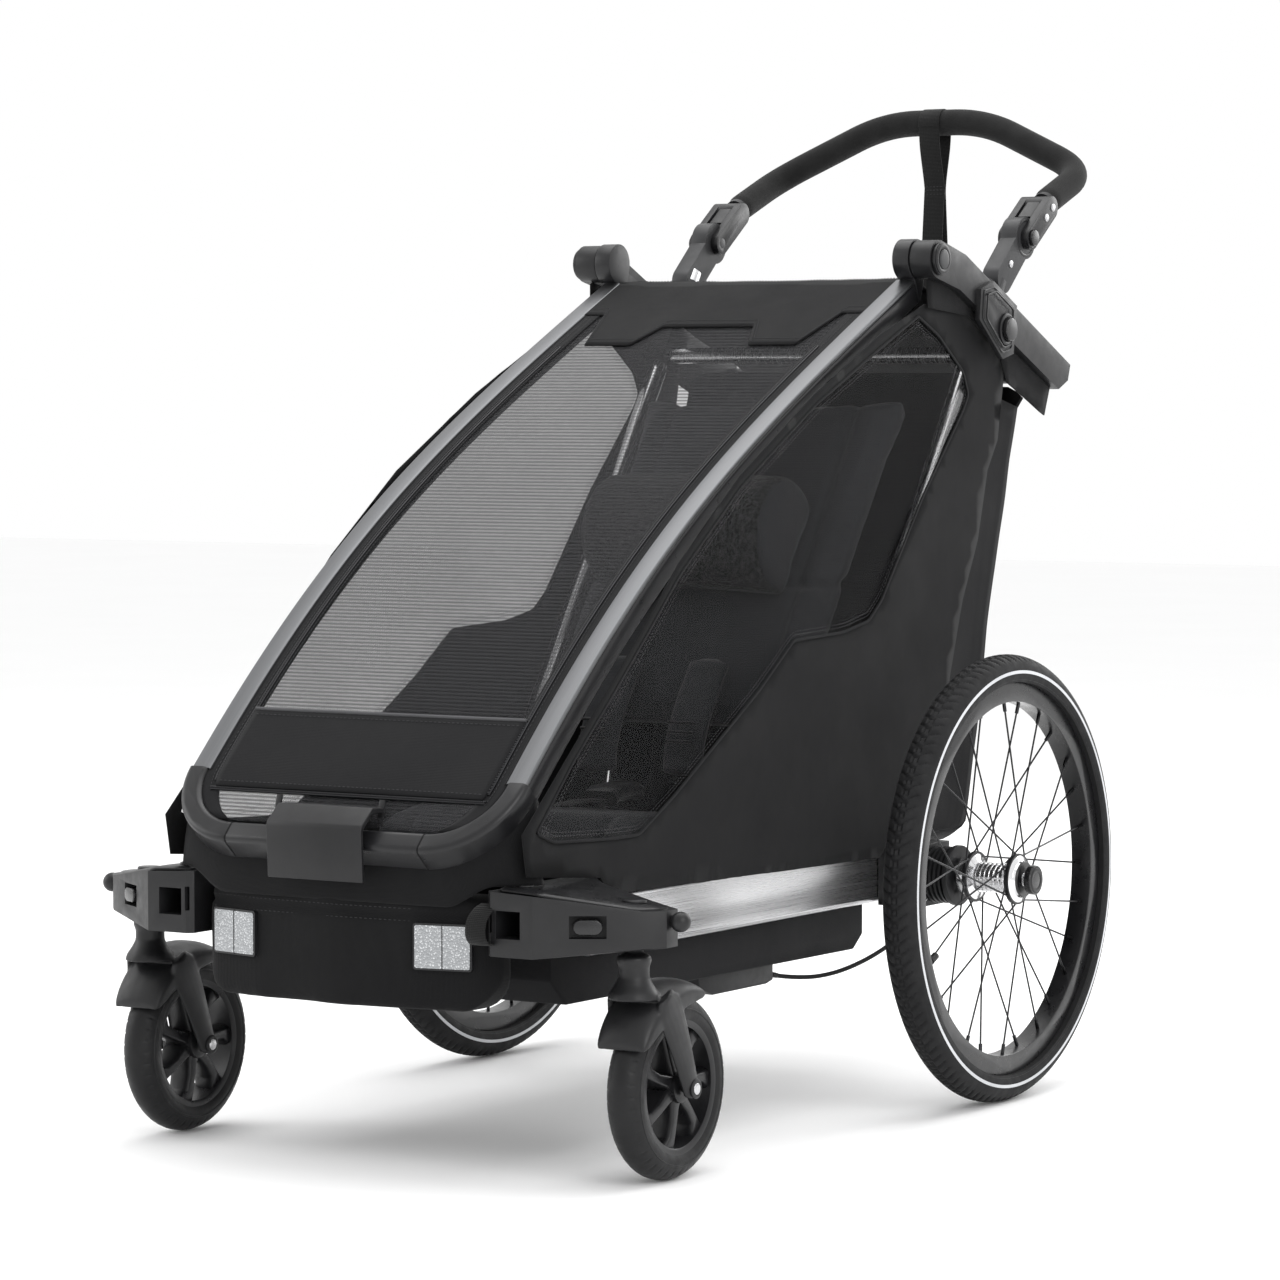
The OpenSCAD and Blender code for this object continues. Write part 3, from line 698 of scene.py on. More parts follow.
# ---------------------------------------------------------------- fabric sheets in a plane

def plane_sheet(name, outline, hole, x, step, thickness, material, bulge):
    """A flat sheet in the plane x, cut from an outline with a hole, finely meshed."""
    outer = [Vector((y, z)) for y, z in outline]
    inner = [Vector((y, z)) for y, z in hole] if hole else []

    def dense(points):
        out = []
        for a, b in zip(points, points[1:] + points[:1]):
            n = max(1, int((b - a).length / step))
            out += [a + (b - a) * k / n for k in range(n)]
        return out

    outer, inner = dense(outer), dense(inner)
    edges = [(k, (k + 1) % len(outer)) for k in range(len(outer))]
    base = len(outer)
    edges += [(base + k, base + (k + 1) % len(inner)) for k in range(len(inner))]
    lo = Vector((min(p.x for p in outer), min(p.y for p in outer)))
    hi = Vector((max(p.x for p in outer), max(p.y for p in outer)))
    field = [Vector((lo.x + i * step, lo.y + j * step))
             for i in range(int((hi.x - lo.x) / step) + 1)
             for j in range(int((hi.y - lo.y) / step) + 1)]
    field = [p for p in field if inside(p, outer) and not (inner and inside(p, inner))
             and near(p, outer + inner) > step * 0.6]
    points = outer + inner + field
    verts, _, faces, *_ = delaunay_2d_cdt(points, edges, [], 0, 1e-6)
    kept = []
    for f in faces:
        c = sum((verts[i] for i in f), Vector((0, 0))) / len(f)
        if inside(c, outer) and not (inner and inside(c, inner)):
            kept.append(tuple(f))
    sign = 1 if x > 0 else -1
    coords = []
    for v in verts:
        coords.append((x + sign * bulge(v.x, v.y), v.x, v.y))
    obj = new_mesh(name, coords, kept, material, None)
    solid(obj, thickness)
    return obj


def inside(p, poly):
    hit = False
    for a, b in zip(poly, poly[1:] + poly[:1]):
        if (a.y > p.y) != (b.y > p.y):
            if p.x < a.x + (b.x - a.x) * (p.y - a.y) / (b.y - a.y):
                hit = not hit
    return hit


def near(p, points):
    return min((p - q).length for q in points)


WINDOW = [(0.189, 0.852), (0.235, 0.832), (0.294, 0.791), (0.306, 0.766), (0.294, 0.749),
          (0.202, 0.656), (0.108, 0.544), (0.080, 0.523), (0.025, 0.513), (-0.081, 0.509),
          (-0.153, 0.460), (-0.321, 0.363), (-0.388, 0.329), (-0.434, 0.329),
          (-0.543, 0.334), (-0.575, 0.345), (-0.507, 0.412), (-0.435, 0.473),
          (-0.361, 0.539), (-0.310, 0.586), (-0.189, 0.673), (-0.036, 0.756), (0.107, 0.818)]
PANEL = [(0.205, 0.866), (0.300, 0.858), (0.372, 0.820), (0.394, 0.794), (0.378, 0.715),
         (0.354, 0.681), (0.331, 0.603), (0.296, 0.537), (0.262, 0.440), (0.225, 0.290),
         (0.204, 0.279), (0.126, 0.279), (0.108, 0.264), (-0.444, 0.274), (-0.458, 0.292),
         (-0.590, 0.304), (-0.598, 0.345), (-0.507, 0.424),
         (-0.435, 0.485), (-0.361, 0.551), (-0.310, 0.598), (-0.189, 0.685),
         (-0.036, 0.768), (0.107, 0.832)]
PANEL_X = 0.2155
window_line = rounded_line([Vector(p) for p in WINDOW + WINDOW[:1]], 0.006, 3)


def fan_bend(obj):
    """Bakes a side piece's placement into its mesh."""
    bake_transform(obj)


def panel_bulge(y, z):
    return 0.0004 * noise.noise(Vector((y * 7, z * 7, 3.1)))


REAR_EDGE = smooth_line([(0.224, 0.276), (0.240, 0.310), (0.262, 0.440), (0.296, 0.537),
                         (0.331, 0.603), (0.354, 0.681), (0.376, 0.715)], 8)
RETURN_X = 0.160


def return_point(a, b, sign):
    """Cloth turned in behind the side panel's rear edge, b going inwards."""
    y, z = along(REAR_EDGE, a)
    return (sign * lerp(PANEL_X, RETURN_X, b), y - 0.004 - 0.003 * math.sin(math.pi * b), z)


for side, sign in SIDES:
    x = sign * PANEL_X
    panel = plane_sheet("side_fabric_" + side, PANEL, WINDOW, x, 0.014, 0.0014,
                        "black_fabric", bulge=panel_bulge)
    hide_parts("side_panel_" + side)
    fan_bend(panel)
    film = plane_sheet("side_film_" + side, WINDOW, None, x - sign * 0.0004, 0.016, 0.0006,
                       "window_film",
                       bulge=lambda y, z: 0.0008 * math.sin(y * 9 + z * 5))
    if sign > 0:
        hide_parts("side_windows")
    fan_bend(film)
    flap = grid("side_return_" + side, lambda a, b, s=sign: return_point(a, b, s),
                40, 8, "black_fabric", None, thickness=0.0014)
    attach(flap, "root")
    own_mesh(flap)
    out = x + sign * 0.0013
    piping = [(out, p[0], p[1]) for p in window_line]
    trim = sweep("window_trim_" + side, piping, rect_outline(0.0030, 0.0018, 0.0006, 2),
                 "trim_fabric", None, up=(sign, 0, 0))
    fan_bend(trim)
    for k, away in enumerate((0.006, 0.0095)):
        grown = []
        for i, p in enumerate(window_line):
            a, b = window_line[max(0, i - 1)], window_line[min(len(window_line) - 1, i + 1)]
            d = np.array(b) - np.array(a)
            d = d / max(np.linalg.norm(d), 1e-9)
            n = np.array([d[1], -d[0]])
            grown.append(np.array(p) + n * away)
        seam = stitches("window_seam_%d_%s" % (k, side),
                        [(out, q[0], q[1]) for q in grown], (sign, 0, 0),
                        "thread", None)
        fan_bend(seam)

# ---------------------------------------------------------------- front cover, mesh and edges

COVER_HALF = ARCH_IN - 0.0012
CORNER_X0 = 0.116
COVER_DEPTH = 0.004
BAND_T = 0.155
HEM_DROP = 0.061


def cover_point(t, u, out=0.0):
    """Point on the front cover at share t down and u across from -1 to 1; past 1 it is the hem."""
    half = COVER_HALF
    if t > 1:
        drop = (t - 1) * 0.70
        lower = corner_point(0, drop, COVER_DEPTH - out)
        half = CORNER_X0 + math.sqrt(max(0.0, (COVER_HALF - CORNER_X0) ** 2 - drop ** 2))
        return (u * half, lower[1], lower[2])
    y, z = arch_point(t, COVER_DEPTH - out)
    sag = 0.0012 * math.sin(math.pi * t) * math.cos(u * math.pi / 2)
    return (u * half, y, z - sag)


HEM_T = 1 + HEM_DROP / 0.70
front_mesh = grid("front_mesh", lambda a, b: cover_point(lerp(0.0, HEM_T, a), lerp(-1, 1, b)),
                  90, 48, "cover_mesh", None, thickness=0.0007)
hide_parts("front_cover")
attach(front_mesh, "roof")


def band(name, t0, t1, u0, u1, out, material, thickness, nu, nv):
    """A strip on the front cover from t0 to t1 down it and u0 to u1 across it."""
    return grid(name, lambda a, b: cover_point(lerp(t0, t1, a), lerp(u0, u1, b), out),
                nu, nv, material, "roof", thickness=thickness)


for side, sign in SIDES:
    band("cover_border_" + side, 0.0, HEM_T, sign, sign * 0.875, 0.0012, "trim_fabric",
         0.0014, 80, 4)
    zip_path = [cover_point(t, sign * 0.905, 0.0022) for t in np.linspace(BAND_T, 1.02, 90)]
    sweep("cover_zip_" + side, zip_path, rect_outline(0.0052, 0.0022, 0.0009, 2),
          "zip_metal", "roof", up=(0, -0.7, 0.7))
    stitches("zip_teeth_" + side, zip_path, (0, -0.5, 0.85), "zip_metal", "roof",
             length=0.0015, gap=0.0014, r=0.0011, lift=0.0011)
    for off, name in ((0.935, "cover_stitch_outer_"), (0.878, "cover_stitch_inner_")):
        stitches(name + side, [cover_point(t, sign * off, 0.0022)
                               for t in np.linspace(0.02, 1.04, 90)],
                 (0, -0.5, 0.85), "thread", "roof")

# Roof patch: solid cloth, wide at its ends and with a dropped middle
def patch_edge(u):
    u = abs(u)
    if u < 0.32:
        return 0.105
    if u < 0.42:
        return lerp(0.105, 0.150, (u - 0.32) / 0.10)
    if u < 0.74:
        return 0.150
    if u < 0.84:
        return lerp(0.150, 0.075, (u - 0.74) / 0.10)
    return 0.075


patch = grid("roof_patch", lambda a, b: cover_point(lerp(0.0, patch_edge(lerp(-1, 1, b)), a),
                                                    lerp(-0.999, 0.999, b), 0.0024),
             14, 100, "black_fabric", "roof", thickness=0.0016)
for k, inset in enumerate((0.006, 0.014)):
    stitches("roof_patch_seam_%d" % k,
             [cover_point(max(0.01, patch_edge(u) - inset), u, 0.0034)
              for u in np.linspace(-0.97, 0.97, 110)],
             (0, -0.3, 0.95), "thread", "roof")

# Lower band: a trapezoid of heavy cloth with a piped edge
LOW_T = 0.918
low_band = band("cover_low_band", LOW_T, 1.03, -0.90, 0.90, 0.0030, "bag_fabric", 0.0022,
                14, 50)
piping_path = [cover_point(LOW_T, u, 0.0046) for u in np.linspace(-0.9, 0.9, 60)]
sweep("cover_low_piping", piping_path, circle_outline(0.0017, 10), "piping", "roof",
      up=(0, -0.4, 0.9))
for k, t in enumerate((LOW_T + 0.008, 1.022)):
    stitches("cover_low_seam_%d" % k,
             [cover_point(t, u, 0.0044) for u in np.linspace(-0.88, 0.88, 60)],
             (0, -0.5, 0.85), "thread", "roof")
low_zip = [cover_point(1.034, u, 0.0022) for u in np.linspace(-0.93, 0.93, 70)]
sweep("cover_low_zip", low_zip, rect_outline(0.0052, 0.0022, 0.0009, 2), "zip_metal", "roof",
      up=(0, -0.7, 0.7))
stitches("cover_low_zip_teeth", low_zip, (0, -0.7, 0.7), "zip_metal", "roof",
         length=0.0015, gap=0.0014, r=0.0011, lift=0.0011)
for k, u in enumerate((-0.42, 0.30)):
    x, y, z = cover_point(1.05, u, 0.006)
    sweep("zip_puller_%d" % k,
          [(x, y, z + 0.004), (x, y - 0.003, z - 0.006), (x, y - 0.004, z - 0.022)],
          rect_outline(0.007, 0.0026, 0.001, 2), "black_plastic", "roof",
          up=(0, -1, 0.1))

# ---------------------------------------------------------------- roof hood and rear sheet

HOOD_HALF = 0.186


def hood_point(a, b):
    """Roof cloth from the arch, a at 0, to the rear rim, a at 1."""
    front = np.array([ARCH[0][0] - 0.002, ARCH[0][1] - 0.004])
    back = np.array([0.505, 0.788])
    mid = [front, (0.236, 0.894), (0.262, 0.884), (0.38, 0.834), (0.47, 0.803), back]
    y, z = along(mid, a)
    u = lerp(-1, 1, b)
    sag = 0.004 * math.sin(math.pi * a) * math.cos(u * math.pi / 2)
    ripple = 0.0008 * noise.noise(Vector((u * 6, y * 14, 1.7)))
    return (u * HOOD_HALF, y, z - sag + ripple)


hood = grid("roof_hood", hood_point, 60, 40, "black_fabric", None,
            thickness=0.0024)
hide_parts("roof_panel")
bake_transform(hood)
for k, a in enumerate((0.10, 0.92)):
    row = stitches("roof_hood_seam_%d" % k,
                   [tuple(np.array(hood_point(a, b)) + (0, 0, 0.0014))
                    for b in np.linspace(0.03, 0.97, 90)],
                   (0, 0.4, 0.9), "thread", None)
    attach(row, "rear_frame")

GUSSET = [(0.204, 0.892), (0.222, 0.900), (0.262, 0.886), (0.380, 0.832), (0.500, 0.776),
          (0.486, 0.742), (0.392, 0.780), (0.372, 0.816), (0.300, 0.854), (0.205, 0.862)]
for side, sign in SIDES:
    flap = plane_sheet("hood_side_" + side, GUSSET, None, sign * 0.2192, 0.012, 0.0014,
                       "black_fabric",
                       bulge=lambda y, z: 0.0006 * noise.noise(Vector((y * 16, z * 16, 2))))
    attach(flap, "rear_frame")

# ---------------------------------------------------------------- skirt below the arch


def skirt_point(a, b):
    """Cloth between the chassis, a at 0, and the arch's bent end, a at 1."""
    u = lerp(-1, 1, b)
    sign, w = (1 if u >= 0 else -1), abs(u)
    if w < 0.55:
        x = 0.116 * w / 0.55
        top = corner_point(x, 0.077, 0.020)
        low = np.array([x * 1.15, -0.610 + 0.004 * (w / 0.55) ** 2, 0.272])
    else:
        turn = math.radians(90 * (w - 0.55) / 0.45)
        top = corner_point(0.116 + 0.0885 * math.sin(turn), 0.077 * math.cos(turn), 0.020)
        s = math.sin(turn)
        low = np.array([lerp(0.1334, 0.2150, s), lerp(-0.606, -0.560, 1 - math.cos(turn)),
                        lerp(0.272, 0.294, smoothstep(s * 1.6))])
    p = np.array(low) * (1 - a) + np.array(top) * a
    p[1] -= 0.0035 * math.sin(math.pi * a) * (1 if w < 0.8 else (1 - w) / 0.2)
    p[0] *= sign
    return tuple(p)


skirt = grid("arch_skirt", skirt_point, 14, 80, "black_fabric", None,
             thickness=0.0014)
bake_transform(skirt)

# ---------------------------------------------------------------- rear bag

BAG = [(0.372, 0.790), (0.350, 0.713), (0.330, 0.640), (0.300, 0.540), (0.268, 0.440),
       (0.255, 0.350), (0.243, 0.275), (0.252, 0.264), (0.345, 0.264), (0.359, 0.272),
       (0.388, 0.375), (0.416, 0.486), (0.435, 0.565), (0.452, 0.633), (0.469, 0.702),
       (0.488, 0.762)]
BAG_HALF = 0.1865


def bag_point(a, b):
    """Loop of the bag's wall, from its front rim round the bottom to its rear rim."""
    y, z = along(BAG, a)
    u = lerp(-1, 1, b)
    edge = smoothstep((1 - abs(u)) / 0.09)
    centre = np.array([0.35, 0.53])
    pull = 0.012 * (1 - edge)
    p = np.array([y, z])
    p = p + (centre - p) / np.linalg.norm(centre - p) * pull
    sag = 0.003 * math.sin(u * 5 + z * 20) * edge * (0.3 + 0.7 * (a > 0.6))
    wrinkle = 0.0016 * noise.noise(Vector((u * 3, y * 16, z * 16)))
    return (u * BAG_HALF, p[0] + sag * 0.4 + wrinkle, p[1])


bag = grid("rear_bag_wall", bag_point, 110, 40, "bag_fabric", None,
           thickness=0.0028)
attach(bag, "root")
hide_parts("rear_bag")
bag_parts = []
for side, sign in SIDES:
    cap_loop = [bag_point(a, 1 if sign > 0 else 0) for a in np.linspace(0, 1, 60)]
    half = len(cap_loop) // 2

    def gusset_point(a, b, loop=cap_loop, s=sign, last=half - 1):
        """Cloth between the rim's front and rear line, drawn in a little."""
        k = min(last, int(a * last))
        front, back = loop[k], loop[-1 - k]
        return (s * (BAG_HALF - 0.005 * math.sin(math.pi * b) * (0.4 + 0.6 * a)),
                lerp(front[1], back[1], b), lerp(front[2], back[2], b))

    bag_parts.append(grid("rear_bag_gusset_" + side, gusset_point, half - 1, 14, "bag_fabric",
                          None, thickness=0.0016))
rim_path = [bag_point(1.0, b) for b in np.linspace(0.0, 1, 40)]
hem = sweep("rear_bag_hem", rim_path, rect_outline(0.004, 0.026, 0.0015, 2), "trim_fabric",
            None, up=(0, 0.2, 1))


def pocket_point(a, b):
    """Mesh pocket on the bag's back, bellied in its middle."""
    belly = 0.008 + 0.010 * math.sin(math.pi * a) * math.sin(math.pi * b)
    return (lerp(-0.14, 0.14, b), lerp(0.440, 0.376, a) + belly, lerp(0.575, 0.330, a))


pocket = grid("rear_bag_pocket", pocket_point, 20, 30, "pocket_mesh", None,
              thickness=0.001)
bag_parts += [hem, pocket]
for obj in bag_parts:
    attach(obj, "root")
for obj in [bag] + bag_parts:
    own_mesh(obj)

# ---------------------------------------------------------------- apron

APRON_ROUND = 0.042
APRON_HALF = 0.176


def apron():
    bm = bmesh.new()
    bm.from_mesh(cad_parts["front_apron"].data)
    obj = from_bmesh("front_apron_cover", bm, "black_fabric")
    voxels(obj, 0.0055)
    smooth = obj.modifiers.new("Smooth", "SMOOTH")
    smooth.iterations = 9
    apply_modifiers(obj)
    points = np.array([v.co for v in obj.data.vertices])
    normals = np.array([v.normal for v in obj.data.vertices])
    low = points[:, 2].min()
    for p in points:
        dx, dz = abs(p[0]) - (APRON_HALF - APRON_ROUND), p[2] - (low + APRON_ROUND)
        reach = math.hypot(dx, dz)
        if dx > 0 and dz < 0 and reach > APRON_ROUND:
            p[0] -= math.copysign(dx * (1 - APRON_ROUND / reach), p[0])
            p[2] -= dz * (1 - APRON_ROUND / reach)
    folds = np.array([noise.noise(Vector((p[0] * 11, p[1] * 8, p[2] * 16 + 5))) for p in points])
    points += normals * (folds * 0.0016)[:, None]
    groove = np.exp(-((points[:, 2] - 0.262) / 0.0035) ** 2)
    points -= normals * (groove * 0.003)[:, None]
    moved_to(obj, points)
    finished(smooth_shaded(obj), "root")
    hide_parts("front_apron")


apron()


def apron_front(x, z, out=0.0):
    """Point on the apron's front face."""
    plan = [(-APRON_HALF, -0.575), (-0.160, -0.592), (-0.090, -0.607), (0.0, -0.612),
            (0.090, -0.607), (0.160, -0.592), (APRON_HALF, -0.575)]
    for (xa, ya), (xb, yb) in zip(plan, plan[1:]):
        if xa <= x <= xb:
            y = lerp(ya, yb, (x - xa) / (xb - xa))
            break
    else:
        y = -0.575
    return (x, y - out, z)


for k, z in enumerate((0.256, 0.268)):
    stitches("apron_seam_%d" % k,
             [apron_front(x, z, -0.0008) for x in np.linspace(-0.165, 0.165, 60)],
             (0, -1, 0), "thread", "root")

for side, sign in SIDES:
    name = "reflector_" + side
    turn = sign * math.radians(12.1)
    cx, cy, cz = sign * 0.125, -0.5995, 0.232
    ca, sa = math.cos(turn), math.sin(turn)
    out_dir = np.array([sa, -ca, 0])
    w, h, t = 0.062, 0.046, 0.0045
    path = [np.array([cx, cy, cz]) + out_dir * o for o in (0.0, t - 0.0006)]
    frame_piece = sweep(name + "_frame", path, rect_outline(w, h, 0.003, 3),
                        "satin_plastic", "root", up=(0, 0, 1))
    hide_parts("reflectors")
    lens = [np.array([cx, cy, cz]) + out_dir * o for o in (t - 0.0012, t)]
    sweep(name + "_lens", lens, rect_outline(w - 0.004, h - 0.004, 0.002, 3), "reflector",
          "root", up=(0, 0, 1))
    line = [np.array([cx, cy, cz]) + out_dir * t + np.array([0, 0, s]) for s in (-0.022, 0.022)]
    sweep(name + "_split", line, rect_outline(0.0011, 0.0009, 0.0003, 1),
          "satin_plastic", "root", up=(sa, -ca, 0))

# ---------------------------------------------------------------- hard parts, softened

def replaced(node_name, material, body, width):
    """A CAD piece's own shape with rounded edges, in its place."""
    bm = bmesh.new()
    bm.from_mesh(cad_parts[node_name].data)
    bmesh.ops.remove_doubles(bm, verts=bm.verts, dist=1e-5)
    bmesh.ops.dissolve_limit(bm, angle_limit=math.radians(1.0), verts=bm.verts, edges=bm.edges)
    obj = from_bmesh(node_name + "_shell", bm, material)
    bevel(obj, width, 3, 28)
    obj.modifiers["Bevel"].use_clamp_overlap = True
    finished(sharpen(smooth_shaded(apply_modifiers(obj)), 30), body)
    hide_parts(node_name)
    return obj


def arm_drop(x):
    """How far the arm's top lies below its full height, growing towards the tip."""
    return 0.017 * smoothstep((abs(x) - 0.205) / 0.115)


def taper_arm(obj):
    """Slopes the arm's top down and its underside up towards the tip."""
    for v in obj.data.vertices:
        if v.co.z > 0.278:
            v.co.z -= arm_drop(v.co.x)
        elif v.co.z < 0.240:
            v.co.z += 0.010 * smoothstep((abs(v.co.x) - 0.235) / 0.08)
    obj.data.update()


replaced("front_cross_tube", "black_metal", "root", 0.8 * MM)
replaced("rear_axle_tube", "black_metal", "root", 0.8 * MM)
replaced("axle_housings", "black_plastic", "root", 3.0 * MM)
replaced("wheel_axles", "steel", "root", 0.5 * MM)
replaced("cable_guide", "black_plastic", "root", 1.2 * MM)
replaced("brake_pedal", "satin_plastic", "brake_pedal", 1.5 * MM)
replaced("floor_tub", "bag_fabric", "root", 2.5 * MM)
replaced("arch_corners", "satin_plastic", "roof", 0.8 * MM)
replaced("front_crossbar", "satin_plastic", "roof", 0.8 * MM)
replaced("top_hinges", "satin_plastic", "roof", 2.4 * MM)
replaced("latch_flap", "black_plastic", "roof", 1.0 * MM)
replaced("uprights", "tube_aluminium", "rear_frame", 0.8 * MM)
replaced("canopy_rails", "black_plastic", "rear_frame", 1.6 * MM)
replaced("rear_crossbar", "black_metal", "rear_frame", 1.2 * MM)
replaced("upright_clamps", "black_plastic", "rear_frame", 2.6 * MM)
replaced("handle_joints", "grey_plastic", "rear_frame", 2.0 * MM)
replaced("handle_clevises", "satin_plastic", "handle", 1.6 * MM)
for side, sign in SIDES:
    taper_arm(replaced("caster_arm_" + side, "black_plastic", "root", 2.2 * MM))
    for knob, width in (("arm_button_", 1.2 * MM), ("handle_button_", 1.2 * MM),
                        ("latch_knob_", 1.6 * MM), ("hub_button_", 1.6 * MM)):
        replaced(knob + side, "button_plastic", knob + side, width)
    replaced("hub_" + side, "hub_aluminium", "wheel_" + side, 0.6 * MM)
    replaced("rim_" + side, "black_metal", "wheel_" + side, 0.8 * MM)
    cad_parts["spokes_" + side].data.materials.clear()
    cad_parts["spokes_" + side].data.materials.append(M["spoke_metal"])

# ---------------------------------------------------------------- side bars

def bar_outline(w, h, r, recess, lip):
    """Rounded rectangle with a shallow recess along each wide face."""
    out = rect_outline(w, h, r, 4)
    half, face = h / 2 - lip, w / 2
    right = [(face, half + 0.001), (face - recess, half), (face - recess, -half),
             (face, -half - 0.001)]
    top, rest = out[:5], out[5:]
    left = [(-face, -half - 0.001), (-face + recess, -half), (-face + recess, half),
            (-face, half + 0.001)]
    return top + rest[:5] + left[::-1] + rest[5:] + right[::-1]


bar_lo, bar_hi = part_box("side_bars")
for side, sign in SIDES:
    centre_x = sign * (bar_hi[0] - 0.011)
    mid_z = (bar_lo[2] + bar_hi[2]) / 2
    bar = sweep("side_bar_" + side, [(centre_x, bar_lo[1], mid_z), (centre_x, bar_hi[1], mid_z)],
                bar_outline(0.022, 0.060, 0.005, 0.0007, 0.0075), "bar_aluminium", "root")
    if sign > 0:
        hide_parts("side_bars")
    cap = sweep("side_bar_cap_" + side,
                [(centre_x, bar_hi[1] - 0.002, mid_z), (centre_x, bar_hi[1] - 0.0002, mid_z)],
                rect_outline(0.0205, 0.0585, 0.004, 3), "black_plastic", "root")

# ---------------------------------------------------------------- arch rails

RAIL_MID = (ARCH_OUT + ARCH_IN) / 2
for side, sign in SIDES:
    ts = np.linspace(0, 1, 60)

    def rail_line(depth, sign=sign):
        return [(sign * RAIL_MID, *arch_point(t, depth)) for t in ts]

    face_line = [(sign * 0.1905, *arch_point(t, 0.0035)) for t in ts]
    face = sweep("arch_face_" + side, face_line, rect_outline(0.0232, 0.0066, 0.0026, 4),
                 "arch_aluminium", "roof", up=(0, 0.2, 1))
    if sign > 0:
        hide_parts("arch_rails")
    sweep("arch_keeper_" + side, rail_line(0.0184), rect_outline(0.0176, 0.0226, 0.0035, 4),
          "satin_plastic", "roof", up=(0, 0.2, 1))
    sweep("arch_welt_" + side, [(sign * 0.1782, *arch_point(t, 0.003)) for t in ts],
          circle_outline(0.0018, 8), "trim_fabric", "roof", up=(0, 0.2, 1))

# Seams where the crossbar meets the bent corner pieces
for sign in (1, -1):
    x = sign * 0.116
    at = corner_point(x, 0.077, 0.015)
    sweep("crossbar_seam_%s" % ("left" if sign > 0 else "right"),
          [at - (0.0007, 0, 0), at + (0.0007, 0, 0)], rect_outline(0.0346, 0.0246, 0.0062, 4),
          "black_fabric", "roof",
          up=(0, math.cos(CORNER_TILT), math.sin(CORNER_TILT)))

# ---------------------------------------------------------------- hinge discs and latch plates

def ring(name, x, centre, r_in, r_out, thick, material, body, slot, sign=1, steps=48):
    profile = [(r_in, 0.0), (r_in, thick), (r_in + 0.0008, thick + 0.0004),
               (r_out - 0.0012, thick + 0.0004), (r_out, thick - 0.0004), (r_out, 0.0)]
    profile = [(r, o * sign) for r, o in profile]
    return lathe(name, profile, x, material, body, centre=centre, steps=steps)


def disc(name, x, centre, r, thick, material, body, sign=1):
    return button(name, (x, centre[0], centre[1]), (sign, 0, 0), r, thick, material, body,
                  dome=0.12)


KNOB_AT = (0.360, 0.839)
for side, sign in SIDES:
    ring("top_hinge_ring_" + side, sign * 0.2350, TOP_PIVOT, 0.0115, 0.0170, 0.0016,
         "satin_plastic", "roof", "black_plastic", sign)
    disc("top_hinge_cap_" + side, sign * 0.2350, TOP_PIVOT, 0.0108, 0.0030, "grey_plastic",
         "roof", sign)
    ring("latch_collar_" + side, sign * 0.2360, KNOB_AT, 0.0140, 0.0185, 0.0024,
         "satin_plastic", "rear_frame", "black_plastic", sign)
    ring("handle_joint_ring_" + side, sign * 0.2160, HANDLE_PIVOT, 0.0185, 0.0220, 0.00022,
         "satin_plastic", "rear_frame", "grey_plastic", sign)
    # Stepped cover around the latch, as a raised plate with a bright upper edge
    plate = [(0.304, 0.884), (0.329, 0.889), (0.381, 0.864), (0.374, 0.815), (0.351, 0.810),
             (0.300, 0.851)]
    centre = np.mean(plate, axis=0)
    for k, (x, share) in enumerate(((0.2362, 0.93), (0.2386, 0.80))):
        outline = [centre + (np.array(p) - centre) * share for p in plate]
        loop = [(sign * x, q[0], q[1]) for q in rounded_line(outline + [outline[0]], 0.004, 3)]
        sweep("latch_step_%d_%s" % (k, side), loop, rect_outline(0.0022, 0.0018, 0.0007, 2),
              "satin_plastic", "rear_frame", up=(sign, 0, 0))

# ---------------------------------------------------------------- handle, grip and strap

HANDLE = [(0.206, 0.494, 0.980), (0.206, 0.610, 1.025), (0.067, 0.627, 1.089),
          (-0.067, 0.627, 1.089), (-0.206, 0.610, 1.025), (-0.206, 0.494, 0.980)]
handle_route = rounded_line(HANDLE, 0.042, 12)
sweep_up = (0, -0.5, 1)
handle_tube = sweep("handle_tube", handle_route, circle_outline(0.0094, 20), "black_metal",
                    "handle", up=sweep_up)
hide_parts("handle_bar")
inner = rounded_line([(0.206, 0.512, 0.986)] + HANDLE[1:5] + [(-0.206, 0.512, 0.986)], 0.042, 12)
inner = [np.array(p) for p in inner]


def grip_scale(s):
    near_end = min(s, 1 - s)
    return 1.0 if near_end > 0.012 else 0.86 + 0.14 * smoothstep(near_end / 0.012)


dense_route = []
for a, b in zip(inner, inner[1:]):
    n = max(1, int(np.linalg.norm(b - a) / 0.006))
    dense_route += [a + (b - a) * k / n for k in range(n)]
dense_route.append(inner[-1])
grip = sweep("grip_foam", dense_route, circle_outline(0.0155, 28), "foam", "handle",
             up=sweep_up, scale=grip_scale)
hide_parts("foam_grip")
for sign in (1, -1):
    end = inner[0] if sign > 0 else inner[-1]
    nxt = inner[1] if sign > 0 else inner[-2]
    d = (nxt - end) / np.linalg.norm(nxt - end)
    sweep("grip_collar_%s" % ("left" if sign > 0 else "right"), [end - d * 0.006, end + d * 0.001],
          circle_outline(0.0136, 28), "satin_plastic", "handle", up=sweep_up)

# Silver bolts of the handle's forks
for side, sign in SIDES:
    for k, (y, z) in enumerate(((0.494, 0.980), (0.478, 0.968))):
        disc("clevis_bolt_%d_%s" % (k, side), sign * 0.2250, (y, z), 0.0044, 0.0016,
             "steel", "handle", sign)
    disc("handle_rivet_" + side, sign * 0.2160, tuple(along([HANDLE_PIVOT, (0.402, 0.909)], 0.86)),
         0.0042, 0.0014, "steel", "rear_frame", sign)

